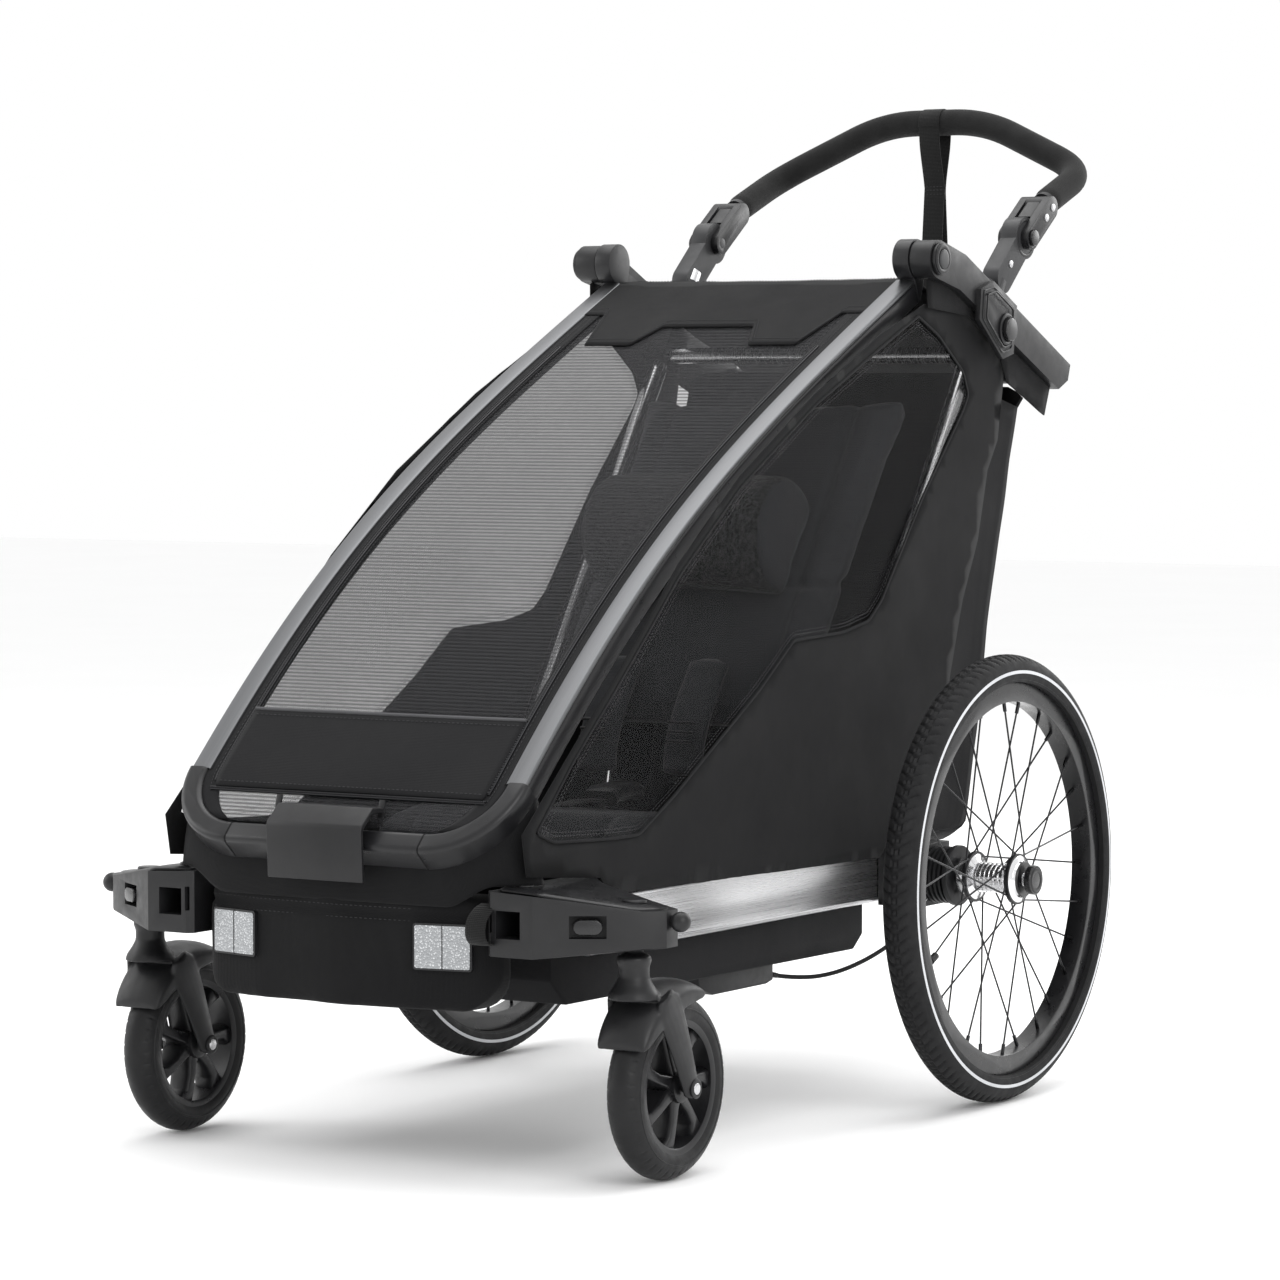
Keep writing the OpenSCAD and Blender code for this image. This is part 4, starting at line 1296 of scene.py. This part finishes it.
# Solid neck between each fork's plates, clear of the knuckle
for side, sign in SIDES:
    tip = (0.494, 0.980)
    d = (np.array(tip) - np.array(HANDLE_PIVOT)) / math.dist(tip, HANDLE_PIVOT)
    path = [(sign * 0.206, *(np.array(HANDLE_PIVOT) + d * r)) for r in (0.0265, 0.050, 0.062)]
    sweep("clevis_neck_" + side, path, rect_outline(0.0212, 0.0235, 0.004, 4),
          "satin_plastic", "handle", up=(0, -0.6, 0.8))

# Sleeves where the uprights enter the handle joints and the clamps
UP_TOP, UP_FOOT = np.array([0.402, 0.909]), np.array([0.010, 0.330])
for side, sign in SIDES:
    for k, (share, r, size) in enumerate(((0.962, 0.0143, 0.010), (0.942, 0.0128, 0.006))):
        c = UP_FOOT + (UP_TOP - UP_FOOT) * share
        d = (UP_TOP - UP_FOOT) / np.linalg.norm(UP_TOP - UP_FOOT) * size
        sweep("upright_sleeve_%d_%s" % (k, side),
              [(sign * 0.203, *(c - d)), (sign * 0.203, *(c + d))], circle_outline(r, 28),
              "grey_plastic" if k == 0 else "satin_plastic", "rear_frame",
              up=(1, 0, 0))

# Webbing strap: a loop round the grip, sewn together, then two tails down
STRAP_HALF = 0.0135


def ribbon(name, line, half, thick, body):
    """Flat strap along a line in the plane across X, half its width to each side."""
    verts = []
    n = len(line)
    for i, p in enumerate(line):
        p = np.array(p, float)
        a = np.array(line[max(0, i - 1)], float)
        b = np.array(line[min(n - 1, i + 1)], float)
        d = (b - a) / max(np.linalg.norm(b - a), 1e-9)
        out = np.array([0, -d[2], d[1]])
        for w, t in ((-1, 0.5), (-0.93, 0.5), (0.93, 0.5), (1, 0.5), (1, -0.5), (0.93, -0.5),
                     (-0.93, -0.5), (-1, -0.5)):
            edge = 0.55 if abs(w) > 0.95 else 1.0
            verts.append(p + np.array([w * half, 0, 0]) + out * (thick * t * edge))
    return sharpen(new_mesh(name, verts, tube_faces(n, 8), "webbing", body), 40)


grip_c = np.array([0.626, 1.088])


def strap_line(sign):
    """Half of the strap's loop, from the sewn seam up round the grip."""
    pts = [(0.6275, 0.998), (0.6265 + sign * 0.003, 1.020), (0.626 + sign * 0.0125, 1.058)]
    for a in np.linspace(-25, 90, 9):
        r = 0.0166
        pts.append((grip_c[0] + sign * r * math.cos(math.radians(a)),
                    grip_c[1] + r * math.sin(math.radians(a))))
    return pts


loop = smooth_line(strap_line(1), 3) + smooth_line(strap_line(-1), 3)[::-1][1:]
strap = ribbon("strap_loop", [(0, y, z) for y, z in loop], STRAP_HALF, 0.0017, "handle")
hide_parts("wrist_strap")
STRAP_PLIES = (((0.619, 0.940), (0.6155, 0.892)), ((0.6335, 0.940), (0.6375, 0.892)))
for k, (mid, low) in enumerate(STRAP_PLIES):
    tail = smooth_line([(0.6265 + (k - 0.5) * 0.0022, 1.012), mid, low], 10)
    ribbon("strap_tail_%d" % k, [(0, y, z) for y, z in tail], STRAP_HALF, 0.0017, "handle")
for k, z in enumerate((1.013, 1.009, 1.004, 1.000, 0.996)):
    stitches("strap_tack_%d" % k, [(-0.0115, 0.6245, z), (0.0115, 0.6245, z)], (0, -1, 0),
             "thread", "handle", lift=0.0004)

# ---------------------------------------------------------------- rear wheels

def tread(a, r, o):
    """Grooves of the tread: slanted blocks, and two lines round the tyre."""
    t = abs(o) / TYRE_HALF
    if r < WHEEL_R - 0.011:
        return r, o
    depth = 0.0017 * (1 - smoothstep((t - 0.62) / 0.25))
    blocks = 118
    phase = a / (2 * math.pi) * blocks + t * 1.1
    edge = abs((phase % 1.0) - 0.5) * 2
    cut = 1.0 if edge > 0.80 else 0.0
    wave = 0.14 * (1 if (a / (2 * math.pi) * blocks) % 1.0 > 0.5 else -1)
    for line in (0.16, 0.44):
        if abs(t - line - wave * 0.12) < 0.035:
            cut = 1.0
    return r - depth * cut, o


def tyre_profile():
    mid = WHEEL_R - TYRE_HALF
    out = [(0.2075, -0.0085), (0.2130, -0.0100)]
    for k in range(33):
        phi = math.radians(lerp(-119, 119, k / 32))
        out.append((mid + TYRE_HALF * math.cos(phi), TYRE_HALF * math.sin(phi)))
    out += [(0.2130, 0.0100), (0.2075, 0.0085)]
    return out


for side, sign in SIDES:
    x = sign * WHEEL_X
    tyre = lathe("tyre_rubber_" + side, tyre_profile(), x, "tyre", "wheel_" + side,
                 steps=944, shape=tread)
    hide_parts("tyre_" + side)
    for k, d in ((0, 1), (1, -1)):
        stripe_o = d * (TYRE_HALF * math.sqrt(1 - ((0.2247 - 0.223) / TYRE_HALF) ** 2) + 0.00025)
        lathe("tyre_stripe_%d_%s" % (k, side),
              [(0.2228, stripe_o - d * 0.0005), (0.2228, stripe_o), (0.2262, stripe_o - d * 0.0002),
               (0.2262, stripe_o - d * 0.0009)],
          x, "stripe", "wheel_" + side, steps=160)
        lathe("tyre_bead_line_%d_%s" % (k, side),
              [(0.2152, d * 0.0178), (0.2158, d * 0.0188), (0.2164, d * 0.0186),
               (0.2160, d * 0.0172)],
              x, "caster_rubber", "wheel_" + side, steps=160)
    # Valve, on the inner side of the rim
    a = math.radians(205)
    cy, cz = AXLE[0] + 0.192 * math.cos(a), AXLE[1] + 0.192 * math.sin(a)
    iy, iz = AXLE[0] + 0.168 * math.cos(a), AXLE[1] + 0.168 * math.sin(a)
    rod_between("valve_stem_" + side, (x, cy, cz), (x, iy, iz), 0.0026, "steel", "wheel_" + side,
                12)
    jy, jz = AXLE[0] + 0.164 * math.cos(a), AXLE[1] + 0.164 * math.sin(a)
    ky, kz = AXLE[0] + 0.176 * math.cos(a), AXLE[1] + 0.176 * math.sin(a)
    rod_between("valve_cap_" + side, (x, jy, jz), (x, ky, kz), 0.0041, "black_plastic",
                "wheel_" + side, 12)
    # Dark rings on the hub's flanges, and ribs on its barrel
    for k, o in ((0, 0.3535), (1, 0.3025)):
        lathe("hub_flange_%d_%s" % (k, side),
              [(0.0215, -0.0024), (0.0275, -0.0022), (0.0278, 0.0), (0.0275, 0.0022),
               (0.0215, 0.0024), (0.0208, 0.0)],
              sign * o, "satin_plastic", "wheel_" + side, steps=64)
    for k in range(7):
        o = lerp(0.3095, 0.3420, k / 6)
        lathe("hub_rib_%d_%s" % (k, side),
              [(0.0148, -0.0011), (0.0166, -0.0007), (0.0166, 0.0007), (0.0148, 0.0011)],
              sign * o, "hub_aluminium", "wheel_" + side, steps=48)
    lathe("hub_end_" + side, [(0.0085, -0.0010), (0.0192, -0.0010), (0.0198, 0.0004),
                              (0.0188, 0.0016), (0.0085, 0.0016)],
          sign * 0.3618, "black_metal", "wheel_" + side, steps=48)
    ring("hub_cap_ring_" + side, sign * 0.3770, AXLE, 0.0085, 0.0140, 0.0001,
         "satin_plastic", "hub_button_" + side, "button_plastic", sign)

# Brake bellows between the axle housings and the wheels
for side, sign in SIDES:
    for k in range(4):
        lathe("axle_rib_%d_%s" % (k, side),
              [(0.0270, -0.0022), (0.0310, -0.0012), (0.0310, 0.0012), (0.0270, 0.0022)],
              sign * (0.2565 + 0.0056 * k), "black_plastic", "root", steps=56)
    for k, (y, z) in enumerate(((0.143, 0.266), (0.189, 0.266), (0.143, 0.220), (0.189, 0.220))):
        disc("housing_bolt_%d_%s" % (k, side), sign * 0.2520, (y, z), 0.0048, 0.0018,
             "steel", "root", sign)

# ---------------------------------------------------------------- casters

SPOKES = 7


def caster_profile():
    """Round-shouldered solid tyre."""
    out = [(0.0665, -0.0165)]
    for k in range(25):
        phi = math.radians(lerp(-100, 100, k / 24))
        out.append((0.0735 + 0.0185 * math.cos(phi), 0.0188 * math.sin(phi)))
    out += [(0.0665, 0.0165)]
    return out


def caster_cuts(a, r, o):
    t = abs(o) / 0.0188
    phase = (a / (2 * math.pi) * 44 + (0.5 if o > 0 else 0)) % 1.0
    if 0.55 < t < 0.88 and r > 0.080 and abs(phase - 0.5) < 0.10:
        return r - 0.0011, o
    return r, o


def blade(angle, x):
    """One broad spoke: thin in the middle, flared at both ends, slightly swept."""
    pts = [(0.013, 0.0085), (0.020, 0.0070), (0.034, 0.0058), (0.050, 0.0066), (0.0625, 0.0118)]
    verts = []
    for i, (r, half) in enumerate(pts):
        sweep_a = angle + 0.10 * math.sin(math.pi * (r - 0.013) / 0.05)
        d = np.array([0, math.cos(sweep_a), math.sin(sweep_a)])
        s = np.array([0, -math.sin(sweep_a), math.cos(sweep_a)])
        deep = lerp(0.0150, 0.0118, i / 4)
        for u, w in ((1, 0.55), (0.75, 1), (-0.75, 1), (-1, 0.55),
                     (-1, -0.55), (-0.75, -1), (0.75, -1), (1, -0.55)):
            verts.append(np.array([x, CASTER_AXLE[0], CASTER_AXLE[1]]) + d * r + s * (u * half)
                         + np.array([w * deep, 0, 0]))
    return verts, tube_faces(len(pts), 8)


for side, sign in SIDES:
    x = sign * CASTER_X
    body = "caster_wheel_" + side
    tyre = lathe("caster_tyre_" + side, caster_profile(), x, "caster_rubber", body,
                 centre=CASTER_AXLE, steps=352, shape=caster_cuts)
    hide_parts("caster_wheel_" + side)
    for k, d in ((0, 1), (1, -1)):
        lathe("caster_ridge_%d_%s" % (k, side),
              [(0.0755, d * 0.0184), (0.0761, d * 0.0191), (0.0772, d * 0.0191),
               (0.0778, d * 0.0182)],
              x, "caster_rubber", body, centre=CASTER_AXLE, steps=96)
    lathe("caster_barrel_" + side,
          [(0.0600, -0.0150), (0.0625, -0.0165), (0.0690, -0.0165), (0.0690, 0.0165),
           (0.0625, 0.0165), (0.0600, 0.0150), (0.0608, 0.0)],
          x, "satin_plastic", body, centre=CASTER_AXLE, steps=96)
    lathe("caster_hub_" + side,
          [(0.0045, -0.0200), (0.0110, -0.0205), (0.0150, -0.0185), (0.0165, -0.0100),
           (0.0165, 0.0100), (0.0150, 0.0185), (0.0110, 0.0205), (0.0045, 0.0200)],
          x, "satin_plastic", body, centre=CASTER_AXLE, steps=48)
    verts, faces = [], []
    for i in range(SPOKES):
        v, f = blade(2 * math.pi * i / SPOKES, x)
        faces += [tuple(q + len(verts) for q in p) for p in f]
        verts += v
    spokes = new_mesh("caster_spokes_" + side, verts, faces, "satin_plastic", None)
    bevel(spokes, 0.0016, 2, 25)
    finished(sharpen(smooth_shaded(apply_modifiers(spokes)), 40), body)


# Moulded fork: stem, rounded hood over the wheel and two legs, grown into one smooth piece
HOOD_FROM, HOOD_TO = math.radians(70), math.radians(152)
HOOD_INSIDE = 0.0960
STEM = [(0.0, 0.270), (0.0090, 0.270), (0.0090, 0.2300), (0.0168, 0.2262), (0.0172, 0.2215),
        (0.0150, 0.2160), (0.0150, 0.2060), (0.0185, 0.1990), (0.0240, 0.1910), (0.0262, 0.1840),
        (0.0, 0.1840)]


def add_tube(bm, rows):
    """Closed skin over a row of outlines."""
    made = [[bm.verts.new(p) for p in row] for row in rows]
    n = len(made[0])
    faces = []
    for a, b in zip(made, made[1:]):
        for k in range(n):
            faces.append(bm.faces.new((a[k], a[(k + 1) % n], b[(k + 1) % n], b[k])))
    faces += [bm.faces.new(made[0]), bm.faces.new(made[-1][::-1])]
    bmesh.ops.recalc_face_normals(bm, faces=faces)


def about_axle(r, turn):
    """Point at radius r and a turn about the caster's axle, as y and z."""
    return CASTER_AXLE[0] + r * math.cos(turn), CASTER_AXLE[1] + r * math.sin(turn)


def hood_section(share):
    """Section of the hood, as (across, radius from the axle), a cap with side skirts."""
    swell = math.sin(math.pi * share) ** 0.5
    half = lerp(0.0265, 0.0315, swell)
    skirt = 0.0950 - 0.0150 * swell
    crown = 0.0035 + 0.0110 * swell
    right = [(half - 0.0055, skirt), (half - 0.0012, skirt), (half, skirt + 0.0015)]
    for k in range(10):
        turn = math.radians(9 * k)
        right.append((half * math.cos(turn), 0.0945 + crown * math.sin(turn)))
    inner = [(half - 0.0062, 0.0935), (half - 0.0100, HOOD_INSIDE)]
    left = [(-a, r) for a, r in reversed(right)]
    return right + left + [(-a, r) for a, r in inner] + inner[::-1]


def fork_leg_rows(x, d):
    line = smooth_line([(-0.512, 0.188), (-0.501, 0.170), (-0.488, 0.146), (-0.476, 0.120),
                        (-0.465, 0.094), (-0.461, 0.084)], 6)
    rows = []
    for i, (cy, cz) in enumerate(line):
        share = i / (len(line) - 1)
        wide = lerp(0.0225, 0.0125, smoothstep(share)) * min(1.0, 0.55 + share * 3,
                                                            0.45 + (1 - share) * 4)
        ahead = line[min(len(line) - 1, i + 1)] - line[max(0, i - 1)]
        ahead = ahead / np.linalg.norm(ahead)
        across = np.array([-ahead[1], ahead[0]])
        row = []
        for k in range(16):
            turn = 2 * math.pi * k / 16
            up = math.sin(turn)
            q = np.array([cy, cz]) + across * (wide * math.cos(turn))
            row.append((x + d * (0.0285 + up * (0.0060 if up > 0 else 0.0032)), q[0], q[1]))
        rows.append(row)
    return rows


def moulded_fork(side, sign):
    x = sign * CASTER_X
    bm = bmesh.new()
    turns = [2 * math.pi * k / 40 for k in range(40)]
    add_tube(bm, [[(x + max(r, 0.0002) * math.cos(t), SWIVEL_Y + max(r, 0.0002) * math.sin(t), z)
                   for t in turns] for r, z in STEM])
    rows = []
    for i in range(31):
        turn = lerp(HOOD_FROM, HOOD_TO, i / 30)
        rows.append([(x + a, *about_axle(r, turn)) for a, r in hood_section(i / 30)])
    add_tube(bm, rows)
    for d in (1, -1):
        add_tube(bm, fork_leg_rows(x, d))
    add_tube(bm, [[(x + a, *about_axle(0.004, t)) for t in turns[::4]]
                  for a in (-0.0335, 0.0335)])
    obj = from_bmesh("caster_fork_cover_" + side, bm, "black_plastic")
    voxels(obj, 0.0014)
    smooth = obj.modifiers.new("Smooth", "SMOOTH")
    smooth.iterations = 10
    finished(smooth_shaded(apply_modifiers(obj)), "caster_" + side)
    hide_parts("caster_fork_" + side)


for side, sign in SIDES:
    moulded_fork(side, sign)
    x = sign * CASTER_X
    for d in (1, -1):
        tag = "%s_%s" % ("out" if d > 0 else "in", side)
        ring("axle_ring_" + tag, x + d * 0.0338, CASTER_AXLE, 0.0062, 0.0098, 0.0016,
             "black_plastic", "caster_" + side, "black_plastic", d)
        disc("axle_bolt_" + tag, x + d * 0.0338, CASTER_AXLE, 0.0058, 0.0026, "steel",
             "caster_" + side, d)

# ---------------------------------------------------------------- caster arm details

ARM = [(0.178, -0.448), (0.203, -0.448), (0.232, -0.478), (0.318, -0.494), (0.336, -0.508),
       (0.337, -0.530), (0.322, -0.548), (0.232, -0.606), (0.184, -0.606), (0.178, -0.600)]
for side, sign in SIDES:
    centre = np.mean(ARM, axis=0)
    verts = []
    levels = ((0.90, 0.0), (0.90, 0.0016), (0.86, 0.0032), (0.5, 0.0036), (0.0, 0.0036))
    outline = rounded_line([np.array(p) for p in ARM + [ARM[0]]], 0.006, 3)[:-1]
    for share, up in levels:
        for p in outline:
            q = centre + (np.array(p) - centre) * share
            verts.append((sign * q[0], q[1], ARM_TOP + up - arm_drop(q[0])))
    faces = tube_faces(len(levels), len(outline), caps=False)
    sharpen(new_mesh("arm_plate_" + side, verts, faces, "satin_plastic", "root"), 30)
    # Dark ring around the lock pin's bore, its darkness painted shade of the recess there, and the
    # swivel's cap
    for name, at, r_in, r_out, high in (("pin_ring_", (0.204, -0.575), 0.0042, 0.0088, 0.0022),
                                        ("swivel_cap_", (CASTER_X, SWIVEL_Y), 0.0, 0.0125, 0.0030)):
        rings = [(r_out, 0.0), (r_out, high * 0.7), (r_out - 0.0012, high),
                 (max(r_in, 0.0004), high),
                 (max(r_in, 0.0004), 0.0)]
        verts, faces = [], []
        steps = 40
        for i in range(steps):
            a = 2 * math.pi * i / steps
            verts += [(sign * (at[0] + r * math.cos(a)), at[1] + r * math.sin(a),
                       ARM_TOP + 0.0034 + o - arm_drop(at[0])) for r, o in rings]
        m2 = len(rings)
        for i in range(steps):
            k = (i + 1) % steps
            for j in range(m2 - 1):
                faces.append((i * m2 + j, i * m2 + j + 1, k * m2 + j + 1, k * m2 + j))
        # The pin ring's darker black_metal is painted shade of the recess around the bore
        sharpen(new_mesh(name + side, verts, faces,
                         "black_metal" if name == "pin_ring_" else "satin_plastic", "root"), 40)

# Webbing loop that hangs out of the left drawbar socket
strap_path = smooth_line([(-0.5930, 0.276), (-0.6060, 0.272), (-0.6180, 0.262), (-0.6200, 0.248),
                          (-0.6120, 0.239), (-0.5990, 0.240)], 6)
loop = ribbon("socket_strap_left", [(0, y, z) for y, z in strap_path], 0.0115, 0.0018, None)
loop.data.transform(Matrix.Translation((0.176, 0, 0)))
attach(loop, "root")

# ---------------------------------------------------------------- harness

WEB_LINE = smooth_line([(0.066, 0.470), (0.040, 0.450), (0.010, 0.420), (-0.028, 0.372),
                        (-0.038, 0.352)], 6)


def harness_pad(name, x, lift, pts, half, thick):
    """A padded sleeve with a rolled edge, along a line down the backrest."""
    line = smooth_line(pts, 6)
    n = len(line)
    ring_pts = []
    for k in range(20):
        a = 2 * math.pi * k / 20
        c, s = math.cos(a), math.sin(a)
        ring_pts.append((math.copysign(abs(c) ** 0.55, c), math.copysign(abs(s) ** 0.8, s)))
    verts = []
    for i, p in enumerate(line):
        a, b = np.array(line[max(0, i - 1)]), np.array(line[min(n - 1, i + 1)])
        d = (b - a) / np.linalg.norm(b - a)
        nrm = np.array([d[1], -d[0]])
        if nrm[0] > 0:
            nrm = -nrm
        s = i / (n - 1)
        grow = 0.35 + 0.65 * min(1, min(s, 1 - s) / 0.06) ** 0.5
        quilt = 1 - 0.18 * math.exp(-(((s * 3) % 1.0 - 0.5) / 0.07) ** 2)
        for u, w in ring_pts:
            off = lift + thick / 2 * (1 + w * grow * quilt)
            verts.append((x + u * half * min(1, grow + 0.1), p[0] + nrm[0] * off,
                          p[1] + nrm[1] * off))
    return new_mesh(name, verts, tube_faces(n, 20), "seat_fabric", "rear_frame")


PAD_LINE = [(0.030, 0.470), (0.008, 0.440), (-0.012, 0.410), (-0.024, 0.380), (-0.026, 0.356)]
for side, sign in SIDES:
    x = sign * 0.055
    pad = harness_pad("shoulder_pad_" + side, x, 0.006, PAD_LINE, 0.024, 0.016)
    if sign > 0:
        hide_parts("harness")
    line = [(0.0, y - 0.006, z - 0.003) for y, z in WEB_LINE]
    web = ribbon("shoulder_web_" + side, line, 0.0125, 0.0016, None)
    web.data.transform(Matrix.Translation((x, 0, 0)))
    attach(web, "rear_frame")
    # Tri-glide buckle: a frame of bars round the webbing
    gy, gz = -0.022, 0.404
    for k, o in enumerate((-0.010, 0.0, 0.010)):
        rod_between("tri_glide_bar_%d_%s" % (k, side), (x - 0.0165, gy - 0.0245 + o * 0.25, gz + o),
                    (x + 0.0165, gy - 0.0245 + o * 0.25, gz + o), 0.0018, "satin_plastic",
                    "rear_frame", 8)
sweep("crotch_buckle", [(0, -0.118, 0.336), (0, -0.110, 0.340), (0, -0.070, 0.342),
                                       (0, -0.062, 0.338)],
                     rect_outline(0.040, 0.017, 0.006, 4), "satin_plastic", "root",
                     up=(0, 0, 1))
ribbon("crotch_web", [(0, -0.12, 0.334), (0, -0.16, 0.336), (0, -0.20, 0.333)], 0.0125, 0.0018,
       "root")

# ---------------------------------------------------------------- brake cable

CABLE = [(0.150, -0.026, 0.147), (0.158, -0.008, 0.143), (0.167, 0.014, 0.140),
         (0.177, 0.038, 0.139), (0.188, 0.064, 0.142), (0.199, 0.090, 0.149),
         (0.210, 0.114, 0.159), (0.220, 0.134, 0.171), (0.228, 0.149, 0.185),
         (0.233, 0.159, 0.198), (0.235, 0.164, 0.209)]
cable = sweep("brake_cable_sheath", smooth_line(CABLE, 5), circle_outline(0.0024, 12),
              "caster_rubber", "root", up=(1, 0, 0))
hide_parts("brake_cable")
for k, i in enumerate((0, len(CABLE) - 1)):
    p = np.array(CABLE[i])
    q = np.array(CABLE[1] if i == 0 else CABLE[-2])
    d = (q - p) / np.linalg.norm(q - p)
    sweep("cable_ferrule_%d" % k, [p, p + d * 0.016], circle_outline(0.0036, 14),
          "black_metal", "root", up=(1, 0, 0), scale=lambda s: 1.0 - 0.2 * s)

# ---------------------------------------------------------------- cloth and film, listed in a table

SHEETS = (
    # name, cut width, cut length, flat area, how it is held, what holds it, pieces on it
    ("side_fabric_", 0.992, 0.632, 0.198, "stretched", ("arch_rails", "side_bars"),
     ("window_trim_",)),
    ("side_film_", 0.900, 0.570, 0.170, "stretched", ("side_panel_",), ()),
    ("hood_side_", 0.330, 0.090, 0.0097, "stretched", ("canopy_rails",), ()),
    ("cover_border_", 1.030, 0.025, None, "stretched", ("front_cover",), ()),
    ("side_return_", 0.470, 0.057, None, "stretched", ("side_panel_",), ()),
    ("rear_bag_gusset_", 0.520, 0.142, 0.057, "hung", ("rear_crossbar",), ()),
)
for side, sign in SIDES:
    for name, wide, long, area, held, rests, extra in SHEETS:
        rests = [r + side if r.endswith("_") else r for r in rests]

# ---------------------------------------------------------------- floor, light and world

floor = bpy.data.meshes.new("floor")
floor.from_pydata([(-14, -14, 0), (14, -14, 0), (14, 14, 0), (-14, 14, 0)], [], [(0, 1, 2, 3)])
floor_obj = bpy.data.objects.new("floor", floor)
bpy.context.scene.collection.objects.link(floor_obj)
floor_obj.location = (0, 0, -0.0005)
pale, pale_tree, pale_shader = nodes_of("floor_white", (0.92, 0.92, 0.92), 0.75, spec=0.2)
speck = noise_out(pale_tree, place(pale_tree), 2, 2)
link(pale_tree, ramp_out(pale_tree, speck, [(0.2, 0.955), (0.8, 0.975)]),
     pale_shader.inputs["Base Color"])
floor.materials.append(pale)


def area_light(name, location, target, size, power):
    data = bpy.data.lights.new(name, "AREA")
    data.shape = "RECTANGLE"
    data.size, data.size_y = size
    data.energy = power
    obj = bpy.data.objects.new(name, data)
    bpy.context.scene.collection.objects.link(obj)
    obj.location = location
    obj.rotation_euler = (Vector(target) - Vector(location)).to_track_quat("-Z", "Y").to_euler()
    return obj


centre = (0, 0, 0.5)
area_light("overhead", (0.0, 0.4, 3.4), centre, (3.6, 3.0), 70)
area_light("left_key", (3.4, -2.2, 2.2), centre, (2.2, 2.6), 60)
area_light("right_fill", (-3.6, -1.6, 1.9), centre, (2.2, 2.6), 40)
area_light("back_edge", (0.6, 3.4, 1.8), centre, (3.0, 1.6), 45)
world = bpy.data.worlds.new("studio")
bpy.context.scene.world = world
world.use_nodes = True
world.node_tree.nodes["Background"].inputs["Color"].default_value = (1, 1, 1, 1)
world.node_tree.nodes["Background"].inputs["Strength"].default_value = 1.0
bpy.context.scene.view_settings.view_transform = "Standard"
